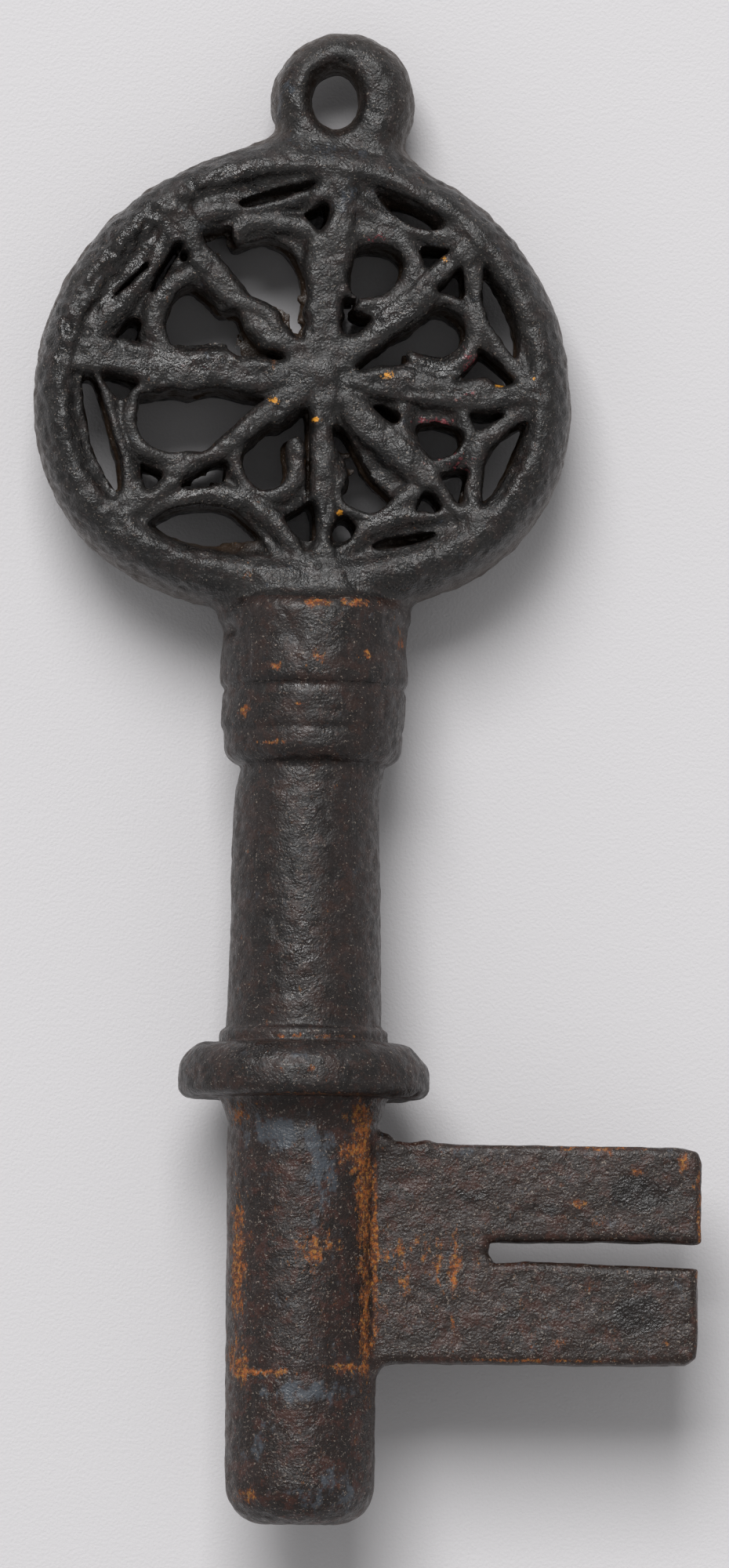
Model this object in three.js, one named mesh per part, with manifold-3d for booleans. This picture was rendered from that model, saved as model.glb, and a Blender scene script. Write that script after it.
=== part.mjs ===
// A cast-iron gate key, lying on its collar and on the far end of its bow.
// Millimetres. While it is built, x runs from the shank's axis towards the bit, y runs from the
// pin's tip towards the eye and z runs up out of the bow's face. The last lines lay it down.

import * as THREE from 'three';
import { mergeVertices } from 'three/addons/utils/BufferGeometryUtils.js';
import Module from 'manifold-3d';

const wasm = await Module();
wasm.setup();

// Clearance left between two members that meet
const fitGap = 0.3;

// Pin, from its rounded tip up to the collar
const pinRadius = 10.15;
const pinTipCrown = 0.9;
const pinTipRound = 4.1;
const pinTipFlat = 6.6;
const pinLength = 54.2;

// Collar that stops the key against the lock, with the fillet under it and the ring on top
const filletRadius = 12.0;
const filletHeight = 2.7;
const filletSeatDepth = 0.6;
const collarRadius = 16.8;
const collarThickness = 7.6;
const collarLowerRound = 2.0;
const collarUpperRound = 3.6;
const seatRingRadius = 11.1;
const seatRingThickness = 1.5;

// Shank
const shankLength = 34.9;
const shankLowerRadius = 10.4;
const shankUpperRadius = 9.5;

// Turned mouldings at the head of the shank, cast a little off the shank's axis
const headOffset = 0.85;
const lowerBeadRadius = 11.9;
const lowerBeadHeight = 4.9;
const middleBeadRadius = 12.3;
const middleBeadHeight = 6.0;
const grooveRadius = 11.5;
const bolsterRadius = 12.8;
const bolsterHeight = 11.5;

// Seat that carries the bow
const seatHeight = 6.0;
const seatRadius = 12.3;
const seatTopHalfDepth = 8.8;

// Bit
const bitReach = 53.0;
const bitLowerEdge = 21.7;
const bitUpperEdge = 50.8;
const bitThickness = 7.6;
const bitCornerRadius = 1.6;
const bitEdgeRound = 1.5;
const bitRootFlare = 2.2;
const slotInnerEnd = 24.6;
const slotMiddle = 36.5;
const slotInnerWidth = 2.7;
const slotMouthWidth = 3.3;

// Bow rim: an oval, rounder above its widest line and squarer below it
const bowLeft = 1.0;
const rimFootLap = 1.8;
const rimHalfWidth = 35.9;
const rimUpperHeight = 34.4;
const rimLowerHeight = 28.9;
const rimUpperPower = 2.0;
const rimLowerPower = 2.3;
const rimSideWidth = 6.3;
const rimTopWidth = 5.6;
const rimFootWidth = 7.5;
const rimHalfDepth = 8.0;

// Hub of the openwork, from the middle of the bow
const hubRight = 3.0;
const hubUp = 2.9;
const hubRadius = 3.1;
const hubHalfDepth = 7.4;

// Openwork strands
const slimWidth = 2.6;
const middlingWidth = 3.0;
const stoutWidth = 3.7;
const broadWidth = 4.2;
const heavyWidth = 6.0;
const spokeHalfDepth = 7.0;
const scrollHalfDepth = 6.0;
const chordHalfDepth = 6.4;
const mouldShiftLeft = 0.8;
const mouldShiftDown = 0.8;
const crestShare = 0.6;
const flankShare = 0.3;
const tipWidthShare = 0.45;
const tipDepthShare = 0.72;

// Eye
const eyeRight = 4.0;
const eyeAboveRim = 5.4;
const eyeRadius = 9.65;
const eyeHalfDepth = 5.9;
const eyeHoleRadius = 3.1;
const eyeHoleStretch = 1.2;
const eyeHoleLeft = 0.9;
const eyeRootRound = 1.8;

// Shoulders of the eye's root, how far out from the eye's middle and how far below it
const leftNotchOut = 8.9;
const leftNotchDown = 4.7;
const leftShoulderOut = 12.4;
const leftShoulderDown = 6.6;
const leftFootOut = 19.0;
const leftFootDown = 9.6;
const rightNotchOut = 8.1;
const rightNotchDown = 6.4;
const rightShoulderOut = 9.6;
const rightShoulderDown = 8.9;
const rightFootOut = 17.4;
const rightFootDown = 13.6;
const rootSag = 1.4;

// Fineness of the facets
const turnedFacets = 28;
const rimFacets = 52;
const eyeFacets = 28;
const roundSteps = 3;
const bevelSteps = 2;
const strandStep = 2.6;
const fewestStrandSteps = 3;
const vertexMergeDistance = 1e-5;

// Heights along the key, each from the piece below it
const filletFoot = pinLength;
const collarFoot = filletFoot + filletHeight;
const seatRingFoot = collarFoot + collarThickness;
const shankFoot = seatRingFoot + seatRingThickness;
const lowerBeadFoot = shankFoot + shankLength;
const middleBeadFoot = lowerBeadFoot + lowerBeadHeight;
const bolsterFoot = middleBeadFoot + middleBeadHeight;
const seatFoot = bolsterFoot + bolsterHeight;
const bowMiddle = seatFoot + rimLowerHeight - rimFootLap;
const eyeMiddle = bowMiddle + rimUpperHeight + eyeAboveRim;

// Finish of each region, as it looks in daylight
const ironFinish = { color: '#35322f', roughness: 0.55, metalness: 0.5 };
const shankFinish = { color: '#3a2f2a', roughness: 0.6, metalness: 0.45 };
const pinFinish = { color: '#4a3527', roughness: 0.75, metalness: 0.3 };

// Closed solid from a geometry, with its shared corners merged and its faces turned outwards
function solidFrom(geometry) {
  const bare = geometry.index ? geometry.toNonIndexed() : geometry.clone();
  bare.deleteAttribute('normal');
  bare.deleteAttribute('uv');
  const merged = mergeVertices(bare, vertexMergeDistance);
  const corners = merged.attributes.position.array;
  const faces = [];
  for (let first = 0; first < merged.index.count; first += 3) {
    const [a, b, c] = [0, 1, 2].map((k) => merged.index.getX(first + k));
    if (a !== b && b !== c && c !== a) faces.push([a, b, c]);
  }
  const turned = signedVolume(corners, faces) < 0 ? faces.map(([a, b, c]) => [a, c, b]) : faces;
  const mesh = new wasm.Mesh({
    numProp: 3,
    vertProperties: Float32Array.from(corners),
    triVerts: Uint32Array.from(turned.flat()),
  });
  return new wasm.Manifold(mesh);
}

function signedVolume(corners, faces) {
  const [p, q, r] = [new THREE.Vector3(), new THREE.Vector3(), new THREE.Vector3()];
  let sum = 0;
  for (const [a, b, c] of faces) {
    p.fromArray(corners, 3 * a);
    q.fromArray(corners, 3 * b);
    r.fromArray(corners, 3 * c);
    sum += p.dot(q.cross(r));
  }
  return sum / 6;
}

// Geometry for a mesh, from a solid
function geometryFrom(solid) {
  const mesh = solid.getMesh();
  const geometry = new THREE.BufferGeometry();
  geometry.setAttribute('position', new THREE.BufferAttribute(Float32Array.from(mesh.vertProperties), 3));
  geometry.setIndex(new THREE.BufferAttribute(Uint32Array.from(mesh.triVerts), 1));
  geometry.computeVertexNormals();
  return geometry;
}

// Each corner of a geometry moved by a function that changes the vector it is given
function reshaped(geometry, move) {
  const position = geometry.attributes.position;
  const corner = new THREE.Vector3();
  for (let k = 0; k < position.count; k += 1) {
    corner.fromBufferAttribute(position, k);
    move(corner);
    position.setXYZ(k, corner.x, corner.y, corner.z);
  }
  return geometry;
}

// Solid turned about the shank's axis from half of its outline, which is a path of radius and height
function turnedSolid(path, offset = 0) {
  const geometry = new THREE.LatheGeometry(path.getPoints(roundSteps), turnedFacets);
  geometry.translate(offset, 0, 0);
  return solidFrom(geometry);
}

function pin(grow) {
  const radius = pinRadius + grow;
  const path = new THREE.Path();
  path.moveTo(0, -grow);
  path.quadraticCurveTo(pinTipFlat / 2, -grow, pinTipFlat + grow, pinTipCrown - grow);
  path.quadraticCurveTo(radius, pinTipCrown * 2 - grow, radius, pinTipCrown + pinTipRound);
  path.lineTo(radius, pinLength - fitGap + grow);
  path.lineTo(0, pinLength - fitGap + grow);
  return turnedSolid(path);
}

// Fillet: it swells from the pin to the collar's foot and is let a little way into it
function collarFillet(grow) {
  const foot = filletFoot - grow;
  const top = collarFoot + filletSeatDepth + grow;
  const path = new THREE.Path();
  path.moveTo(0, foot);
  path.lineTo(pinRadius + grow, foot);
  path.quadraticCurveTo(pinRadius + grow, collarFoot - fitGap, filletRadius + grow, collarFoot - fitGap);
  path.lineTo(filletRadius + grow, top);
  path.lineTo(0, top);
  return turnedSolid(path);
}

function collar(grow) {
  const radius = collarRadius + grow;
  const foot = collarFoot - grow;
  const top = collarFoot + collarThickness - fitGap + grow;
  const path = new THREE.Path();
  path.moveTo(0, foot);
  path.lineTo(radius - collarLowerRound, foot);
  path.absarc(radius - collarLowerRound, foot + collarLowerRound, collarLowerRound, -Math.PI / 2, 0);
  path.absarc(radius - collarUpperRound, top - collarUpperRound, collarUpperRound, 0, Math.PI / 2);
  path.lineTo(0, top);
  return turnedSolid(path);
}

function seatRing(grow) {
  const radius = seatRingRadius + grow;
  const path = new THREE.Path();
  path.moveTo(0, seatRingFoot - grow);
  path.lineTo(radius, seatRingFoot - grow);
  path.lineTo(radius, shankFoot - fitGap + grow);
  path.lineTo(0, shankFoot - fitGap + grow);
  return turnedSolid(path);
}

function shank(grow) {
  const path = new THREE.Path();
  path.moveTo(0, shankFoot - grow);
  path.lineTo(shankLowerRadius + grow, shankFoot - grow);
  path.lineTo(shankUpperRadius + grow, lowerBeadFoot - fitGap + grow);
  path.lineTo(0, lowerBeadFoot - fitGap + grow);
  return turnedSolid(path);
}

// Moulding whose side swells from its lower edge to its belly and back to its upper edge
function moulding(foot, height, lowerRadius, bellyRadius, upperRadius, grow) {
  const top = foot + height - fitGap + grow;
  const middle = foot + height / 2;
  const path = new THREE.Path();
  path.moveTo(0, foot - grow);
  path.lineTo(lowerRadius + grow, foot - grow);
  path.quadraticCurveTo(bellyRadius + grow, foot, bellyRadius + grow, middle);
  path.quadraticCurveTo(bellyRadius + grow, top, upperRadius + grow, top);
  path.lineTo(0, top);
  return turnedSolid(path, headOffset);
}

function lowerBead(grow) {
  const neckRadius = shankUpperRadius + headOffset;
  return moulding(lowerBeadFoot, lowerBeadHeight, neckRadius, lowerBeadRadius, grooveRadius, grow);
}

function middleBead(grow) {
  return moulding(middleBeadFoot, middleBeadHeight, grooveRadius, middleBeadRadius, grooveRadius, grow);
}

function bolster(grow) {
  const upperRadius = (bolsterRadius + seatRadius) / 2;
  return moulding(bolsterFoot, bolsterHeight, grooveRadius, bolsterRadius, upperRadius, grow);
}

// Seat of the bow: round where it stands on the bolster and flattened where it meets the rim
function bowSeat(grow) {
  const foot = seatFoot - grow;
  const top = seatFoot + seatHeight + grow;
  const flattening = 1 - seatTopHalfDepth / seatRadius;
  const path = new THREE.Path();
  path.moveTo(0, foot);
  path.lineTo(seatRadius + grow, foot);
  path.lineTo(seatRadius + grow, top);
  path.lineTo(0, top);
  const geometry = new THREE.LatheGeometry(path.getPoints(roundSteps), turnedFacets);
  reshaped(geometry, (corner) => {
    corner.z *= 1 - (flattening * (corner.y - foot)) / (top - foot);
    corner.x += headOffset;
  });
  return solidFrom(geometry);
}

// Bit: a flat plate with rounded edges and one ward slot let in from its outer edge
function bit(grow) {
  const left = pinRadius / 2;
  const right = bitReach + grow;
  const low = bitLowerEdge - grow;
  const high = bitUpperEdge + grow;
  const round = bitCornerRadius;
  const root = pinRadius;
  const outline = new THREE.Shape();
  outline.moveTo(left, low - bitRootFlare);
  outline.lineTo(root, low - bitRootFlare);
  outline.quadraticCurveTo(root, low, root + bitRootFlare, low);
  outline.lineTo(right - round, low);
  outline.quadraticCurveTo(right, low, right, low + round);
  if (grow === 0) {
    outline.lineTo(right, slotMiddle - slotMouthWidth / 2);
    outline.lineTo(slotInnerEnd, slotMiddle - slotInnerWidth / 2);
    outline.lineTo(slotInnerEnd, slotMiddle + slotInnerWidth / 2);
    outline.lineTo(right, slotMiddle + slotMouthWidth / 2);
  }
  outline.lineTo(right, high - round);
  outline.quadraticCurveTo(right, high, right - round, high);
  outline.lineTo(root + bitRootFlare, high);
  outline.quadraticCurveTo(root, high, root, high + bitRootFlare);
  outline.lineTo(left, high + bitRootFlare);
  outline.closePath();
  const geometry = new THREE.ExtrudeGeometry(outline, {
    depth: bitThickness + 2 * grow - 2 * bitEdgeRound,
    bevelThickness: bitEdgeRound,
    bevelSize: bitEdgeRound / 2,
    bevelOffset: -bitEdgeRound / 2,
    bevelSegments: bevelSteps,
    curveSegments: roundSteps,
  });
  geometry.translate(0, 0, bitEdgeRound - bitThickness / 2 - grow);
  return solidFrom(geometry);
}

// Distance from the bow's middle to an oval, at a bearing
function ovalReach(bearing, halfWidth, upperHeight, lowerHeight) {
  const across = Math.abs(Math.cos(bearing)) / halfWidth;
  const isUpper = Math.sin(bearing) >= 0;
  const along = Math.abs(Math.sin(bearing)) / (isUpper ? upperHeight : lowerHeight);
  const power = isUpper ? rimUpperPower : rimLowerPower;
  return (across ** power + along ** power) ** (-1 / power);
}

function rimOuterReach(bearing) {
  return ovalReach(bearing, rimHalfWidth, rimUpperHeight, rimLowerHeight);
}

function rimInnerReach(bearing) {
  const halfWidth = rimHalfWidth - rimSideWidth;
  return ovalReach(bearing, halfWidth, rimUpperHeight - rimTopWidth, rimLowerHeight - rimFootWidth);
}

// Half of the rim's section: how far from its inner to its outer edge, and how far up its half depth
const rimSection = [
  [0.0, 0.3],
  [0.1, 0.82],
  [0.28, 1.0],
  [0.6, 0.9],
  [0.86, 0.6],
  [1.0, 0.15],
];

// Rim: turned as a ring of the section, then drawn out to the two ovals
function bowRim(grow) {
  const upper = rimSection.map(([share, rise]) => new THREE.Vector2(1 + share, rise));
  const lower = rimSection.map(([share, rise]) => new THREE.Vector2(1 + share, -rise)).reverse();
  const geometry = new THREE.LatheGeometry([...upper, ...lower, upper[0]], rimFacets);
  reshaped(geometry, (corner) => {
    const bearing = Math.atan2(corner.z, corner.x);
    const share = Math.hypot(corner.x, corner.z) - 1;
    const inner = rimInnerReach(bearing) - grow;
    const outer = rimOuterReach(bearing) + grow;
    const reach = inner + share * (outer - inner);
    const rise = corner.y * (rimHalfDepth + grow);
    corner.set(reach * Math.cos(bearing) - bowLeft, bowMiddle + reach * Math.sin(bearing), rise);
  });
  return solidFrom(geometry);
}

// Half of the eye's section: how far from its hole to its outside, and how far up its half depth
const eyeSection = [
  [0.0, 0.0],
  [0.06, 0.62],
  [0.15, 0.88],
  [0.45, 1.0],
  [0.76, 0.82],
  [0.94, 0.48],
  [1.0, 0.0],
];

// Eye with the root that joins it to the rim
function suspensionEye(grow) {
  const section = eyeSection.map(([share, rise]) => [
    THREE.MathUtils.lerp(eyeHoleRadius - grow, eyeRadius + grow, share),
    rise * (eyeHalfDepth + grow),
  ]);
  const upper = section.map(([radius, rise]) => new THREE.Vector2(radius, rise));
  const lower = section.slice(1, -1).map(([radius, rise]) => new THREE.Vector2(radius, -rise)).reverse();
  const ring = new THREE.LatheGeometry([...upper, ...lower, upper[0]], eyeFacets);
  const wall = eyeRadius - eyeHoleRadius;
  reshaped(ring, (corner) => {
    const bearing = Math.atan2(corner.z, corner.x);
    const radius = Math.hypot(corner.x, corner.z);
    const nearHole = Math.max(0, 1 - (radius - eyeHoleRadius) / wall);
    const stretch = 1 + (eyeHoleStretch - 1) * nearHole;
    const across = radius * Math.cos(bearing) - eyeHoleLeft * nearHole;
    corner.set(eyeRight + across, eyeMiddle + radius * stretch * Math.sin(bearing), corner.y);
  });
  return solidFrom(ring).add(eyeRoot(grow));
}

// Root: a plate under the ring of the eye, whose shoulders run down onto the rim on both sides
function eyeRoot(grow) {
  const top = -(eyeRadius + eyeHoleRadius * eyeHoleStretch) / 2;
  const corners = [
    [-leftFootOut - grow, -leftFootDown + grow],
    [-leftShoulderOut - grow, -leftShoulderDown + grow],
    [-leftNotchOut - grow, -leftNotchDown + grow],
    [-leftNotchOut / 2, top],
    [rightNotchOut / 2, top],
    [rightNotchOut + grow, -rightNotchDown + grow],
    [rightShoulderOut + grow, -rightShoulderDown + grow],
    [rightFootOut + grow, -rightFootDown + grow],
    [0, -leftFootDown - rootSag],
  ];
  const outline = new THREE.Shape(corners.map(([x, y]) => new THREE.Vector2(x, y)));
  const depth = 2 * (eyeHalfDepth - eyeRootRound + grow);
  const geometry = new THREE.ExtrudeGeometry(outline, {
    depth,
    bevelThickness: eyeRootRound,
    bevelSize: eyeRootRound / 2,
    bevelOffset: -eyeRootRound / 2,
    bevelSegments: bevelSteps,
  });
  geometry.translate(eyeRight, eyeMiddle, -depth / 2);
  return solidFrom(geometry);
}

function hubBoss(grow) {
  const radius = hubRadius + grow;
  const rise = hubHalfDepth + grow;
  const path = new THREE.Path();
  path.moveTo(0, -rise);
  path.quadraticCurveTo(radius, -rise, radius, -rise / 2);
  path.lineTo(radius, rise / 2);
  path.quadraticCurveTo(radius, rise, 0, rise);
  const geometry = new THREE.LatheGeometry(path.getPoints(roundSteps), eyeFacets / 2);
  geometry.rotateX(Math.PI / 2);
  geometry.translate(hubRight - bowLeft, bowMiddle + hubUp, 0);
  return solidFrom(geometry);
}

// Place in the openwork, by its bearing round the bow in degrees and its share of the way from hub to rim
function openworkPoint([degrees, share]) {
  const bearing = THREE.MathUtils.degToRad(degrees);
  const reach = rimInnerReach(bearing);
  const x = hubRight + (reach * Math.cos(bearing) - hubRight) * share;
  const y = hubUp + (reach * Math.sin(bearing) - hubUp) * share;
  return new THREE.Vector3(x - bowLeft, bowMiddle + y, 0);
}

// Section of a strand, as shares of its width and of its half depth
const strandSection = [
  [crestShare / 2, 1],
  [0.5, flankShare],
  [0.5, -flankShare],
  [crestShare / 2, -1],
  [-crestShare / 2, -1],
  [-0.5, -flankShare],
  [-0.5, flankShare],
  [-crestShare / 2, 1],
];

// Strand of the openwork: its section is extruded straight, then laid along its route.
// Its lower half is shifted sideways, because the two halves of the mould didn't meet truly.
function strand({ route, from, to, halfDepth, freeEnd }, grow) {
  const curve = new THREE.CatmullRomCurve3(route.map(openworkPoint), false, 'centripetal');
  const steps = Math.max(fewestStrandSteps, Math.round(curve.getLength() / strandStep));
  const outline = new THREE.Shape(strandSection.map(([across, rise]) => new THREE.Vector2(across, rise)));
  const geometry = new THREE.ExtrudeGeometry(outline, { depth: 1, steps, bevelEnabled: false });
  reshaped(geometry, (corner) => {
    const along = THREE.MathUtils.clamp(corner.z, 0, 1);
    const middle = curve.getPointAt(along);
    const tangent = curve.getTangentAt(along);
    const isTip = freeEnd && Math.round(along * steps) === steps;
    const width = (THREE.MathUtils.lerp(from, to, along) + 2 * grow) * (isTip ? tipWidthShare : 1);
    const rise = corner.y * (halfDepth + grow) * (isTip ? tipDepthShare : 1);
    const shift = corner.y < 0 ? 1 : 0;
    const x = middle.x - tangent.y * corner.x * width - shift * mouldShiftLeft;
    const y = middle.y + tangent.x * corner.x * width - shift * mouldShiftDown;
    corner.set(x, y, rise);
  });
  return solidFrom(geometry);
}

// Spokes, from the hub into the rim. Widths are at the hub and at the rim.
const spokes = [
  { name: 'spoke_north', from: stoutWidth, to: heavyWidth,
    route: [[84, 0.03], [81, 0.28], [82, 0.6], [82, 1.06]] },
  { name: 'spoke_south', from: slimWidth, to: slimWidth,
    route: [[277, 0.03], [275, 0.32], [277, 0.71], [278, 1.12]] },
  { name: 'spoke_east', from: broadWidth, to: broadWidth,
    route: [[1, 0.03], [1, 0.26], [359, 0.5], [359, 0.73], [2, 1.08]] },
  { name: 'spoke_west', from: stoutWidth, to: broadWidth,
    route: [[169, 0.03], [168, 0.25], [172, 0.57], [169, 0.84], [168, 1.07]] },
  { name: 'spoke_north_east', from: stoutWidth, to: slimWidth,
    route: [[42, 0.03], [42, 0.36], [40, 0.62], [41, 0.82], [42, 1.06]] },
  { name: 'spoke_south_east', from: broadWidth, to: slimWidth,
    route: [[319, 0.03], [319, 0.34], [323, 0.58], [326, 1.05]] },
  { name: 'spoke_south_west', from: middlingWidth, to: slimWidth,
    route: [[213, 0.03], [213, 0.3], [213, 0.5], [214, 0.72], [213, 1.04]] },
  { name: 'spoke_north_west', from: stoutWidth, to: broadWidth,
    route: [[132, 0.03], [131, 0.31], [129, 0.54], [126, 1.03]] },
].map((spoke) => ({ ...spoke, halfDepth: spokeHalfDepth }));

// Chords, from the rim end of one spoke to that of the next
const chords = [
  { name: 'chord_north_to_north_east', from: middlingWidth, to: middlingWidth,
    route: [[82, 0.96], [70, 0.88], [58, 0.89], [50, 0.96], [45, 1.08]] },
  { name: 'chord_north_east_to_east', from: middlingWidth, to: middlingWidth,
    route: [[43, 1.03], [33, 0.92], [23, 0.86], [12, 0.91], [3, 1.05]] },
  { name: 'chord_east_to_south_east', from: middlingWidth, to: middlingWidth,
    route: [[0, 1.07], [353, 0.93], [345, 0.83], [336, 0.85], [326, 1.03]] },
  { name: 'chord_south_east_to_south', from: middlingWidth, to: middlingWidth,
    route: [[328, 1.04], [318, 0.91], [307, 0.85], [294, 0.88], [279, 1.04]] },
  { name: 'chord_south_to_south_west', from: middlingWidth, to: middlingWidth,
    route: [[274, 1.1], [269, 0.98], [258, 0.82], [243, 0.73], [227, 0.74], [215, 1.0]] },
  { name: 'chord_south_west_to_west', from: middlingWidth, to: slimWidth,
    route: [[214, 1.02], [203, 0.9], [192, 0.88], [180, 0.9], [170, 1.03]] },
  { name: 'chord_west_to_north_west', from: middlingWidth, to: middlingWidth,
    route: [[167, 1.03], [157, 0.94], [148, 0.91], [136, 0.92], [127, 1.02]] },
  { name: 'chord_north_west_to_north', from: middlingWidth, to: middlingWidth,
    route: [[125, 0.96], [116, 0.94], [104, 0.89], [93, 0.91], [84, 1.04]] },
].map((chord) => ({ ...chord, halfDepth: chordHalfDepth }));

// Scrolls that spring from the spokes between hub and rim; some end free and some close on a spoke
const scrolls = [
  { name: 'scroll_north_east_by_north', from: middlingWidth, to: slimWidth, freeEnd: true,
    route: [[82, 0.75], [69, 0.79], [59, 0.83], [50, 0.78], [46, 0.65], [48, 0.51], [60, 0.4]] },
  { name: 'scroll_east_by_north', from: middlingWidth, to: middlingWidth, freeEnd: true,
    route: [[41, 0.6], [35, 0.77], [26, 0.83], [18, 0.82], [12, 0.74], [7, 0.62], [9, 0.51], [13, 0.46]] },
  { name: 'scroll_east_by_south', from: slimWidth, to: slimWidth,
    route: [[342, 0.42], [331, 0.46], [327, 0.59], [330, 0.7], [338, 0.76], [345, 0.76], [355, 0.7]] },
  { name: 'scroll_south_east_by_south', from: slimWidth, to: slimWidth,
    route: [[278, 0.45], [286, 0.6], [288, 0.74], [297, 0.8], [309, 0.79], [324, 0.76]] },
  { name: 'scroll_south_west_by_south', from: middlingWidth, to: middlingWidth, freeEnd: true,
    route: [[212, 0.46], [226, 0.57], [239, 0.66], [251, 0.68], [260, 0.6], [259, 0.47], [248, 0.36]] },
  { name: 'scroll_west_by_south', from: slimWidth, to: slimWidth,
    route: [[174, 0.66], [181, 0.77], [190, 0.81], [199, 0.8], [205, 0.74], [213, 0.59]] },
  { name: 'scroll_west_by_north', from: stoutWidth, to: stoutWidth,
    route: [[128, 0.74], [141, 0.78], [151, 0.79], [159, 0.75], [165, 0.68], [170, 0.6]] },
  { name: 'scroll_north_west_by_north', from: middlingWidth, to: middlingWidth, freeEnd: true,
    route: [[82, 0.66], [91, 0.75], [100, 0.8], [109, 0.84], [115, 0.81]] },
].map((scroll) => ({ ...scroll, halfDepth: scrollHalfDepth }));

// Members in the order in which they claim their space: each one is cut clear of those before it
const members = [
  { name: 'pin', shape: pin, finish: pinFinish },
  { name: 'collar_fillet', shape: collarFillet, finish: pinFinish },
  { name: 'collar', shape: collar, finish: ironFinish },
  { name: 'seat_ring', shape: seatRing, finish: shankFinish },
  { name: 'shank', shape: shank, finish: shankFinish },
  { name: 'lower_bead', shape: lowerBead, finish: ironFinish },
  { name: 'middle_bead', shape: middleBead, finish: ironFinish },
  { name: 'bolster', shape: bolster, finish: ironFinish },
  { name: 'bow_seat', shape: bowSeat, finish: ironFinish },
  { name: 'bit', shape: bit, finish: pinFinish },
  { name: 'bow_rim', shape: bowRim, finish: ironFinish },
  { name: 'suspension_eye', shape: suspensionEye, finish: ironFinish },
  { name: 'hub_boss', shape: hubBoss, finish: ironFinish },
  ...[...spokes, ...chords, ...scrolls].map((row) => ({
    name: row.name,
    shape: (grow) => strand(row, grow),
    finish: ironFinish,
  })),
];

// Largest separate body of a solid, so that slivers left by a cut go with the member that made them
function mainBody(solid) {
  const bodies = solid.decompose();
  return bodies.reduce((best, body) => (body.volume() > best.volume() ? body : best));
}

const key = new THREE.Group();
const claimed = [];
for (const { name, shape, finish } of members) {
  const free = claimed.reduce((rest, earlier) => rest.subtract(earlier), shape(0));
  const mesh = new THREE.Mesh(geometryFrom(mainBody(free)), new THREE.MeshStandardMaterial(finish));
  mesh.name = name;
  key.add(mesh);
  claimed.push(shape(fitGap));
}

// Laid down: the shank leans until the collar's edge and the far end of the rim are level,
// and the whole stands on z = 0 with its middle over the origin
const farCrest = bowMiddle + rimUpperHeight - rimTopWidth / 2;
const collarCrest = collarFoot + collarThickness / 2;
key.rotation.x = -Math.asin((collarRadius - rimHalfDepth) / (farCrest - collarCrest));
key.updateMatrixWorld(true);
const extent = new THREE.Box3().setFromObject(key, true);
const middle = extent.getCenter(new THREE.Vector3());
key.position.set(-middle.x, -middle.y, -extent.min.z);
key.updateMatrixWorld(true);

const gateKey = new THREE.Group();
gateKey.add(key);

export default gateKey;
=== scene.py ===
import math
from collections import namedtuple

import bmesh
import bpy
import numpy as np
import openvdb
from mathutils import Matrix, Vector


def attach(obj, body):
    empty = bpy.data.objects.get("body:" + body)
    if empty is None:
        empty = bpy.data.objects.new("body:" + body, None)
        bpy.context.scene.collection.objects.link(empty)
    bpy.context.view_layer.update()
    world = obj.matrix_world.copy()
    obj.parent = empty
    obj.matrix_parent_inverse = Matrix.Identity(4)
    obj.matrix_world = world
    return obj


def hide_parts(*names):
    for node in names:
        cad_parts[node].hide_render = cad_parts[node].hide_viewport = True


# An old cast-iron gate key on a pale table. Its solid is worked out in millimetres, in the key's
# own frame: x across from the shank's axis towards the bit, y from the pin's tip to the eye, z up
# out of the bow's face. It is then laid down as the frame lies, and cut into its members.

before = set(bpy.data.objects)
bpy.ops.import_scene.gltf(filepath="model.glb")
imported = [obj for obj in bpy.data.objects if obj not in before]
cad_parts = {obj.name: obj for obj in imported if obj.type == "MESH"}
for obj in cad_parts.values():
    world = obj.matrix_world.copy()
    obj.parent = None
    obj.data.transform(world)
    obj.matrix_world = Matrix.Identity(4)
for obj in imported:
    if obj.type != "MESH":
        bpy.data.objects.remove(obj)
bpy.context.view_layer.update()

# How the key lies in the row frame
KEY_PITCH = math.radians(4.1603)
KEY_PLACE = Vector((-8.05, -99.632, 21.535))
MM = 0.001

# Photograph: one pixel in millimetres, the pin's tip in it, and the key's lean to the right
PIXEL = 0.105
TIP_U = 383.4
TIP_V = 1946.0
KEY_LEAN = math.radians(0.49)
PHOTO_HEIGHT = 2000

# Fineness of the casting's mesh
STEP = 0.34

# Space that the casting is worked out in
LOW = (-39.0, -2.0, -18.5)
HIGH = (55.0, 202.0, 18.5)
OUTSIDE = 4.0

# Bow: its middle, and the ovals of its rim
BOW_X = -1.0
BOW_Y = 150.4
RIM_HALF_WIDTH = 35.9
RIM_UPPER = 34.4
RIM_LOWER = 28.9
RIM_UPPER_POWER = 2.0
RIM_LOWER_POWER = 2.3
RIM_SIDE_WIDTH = 6.3
RIM_TOP_WIDTH = 5.6
RIM_FOOT_WIDTH = 7.5
RIM_HALF_DEPTH = 8.0
RIM_CREST = 0.36
RIM_POWER = 2.2

# Openwork: half depths of its rods and of the web that joins them, width of its rounded flanks,
# and how far left the mould's lower half was shifted
SPOKE_RISE = 7.8
FRET_RISE = 7.3
WEB_RISE = 5.8
RIM_WEB_RISE = 6.8
RIM_WEB_SPREAD = 2.6
WEB_FILLET = 1.1
FRET_HALF_WIDTH = 1.7
SPOKE_EXTRA_WIDTH = 0.45
STRAND_RISE = 8.0
STRAND_ROUND = 1.7
MOULD_SHIFT = 0.8
RIM_LAP = 1.5

# Flash: thin ragged fins that the joint of the mould left in some openings
FLASH_REACH = 2.6
FLASH_BASE = 0.3
FLASH_HALF_DEPTH = 0.34
FLASH_SWELL = 1.0
FLASH_FADE = 1.6
FLASH_SEED = 5

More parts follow.
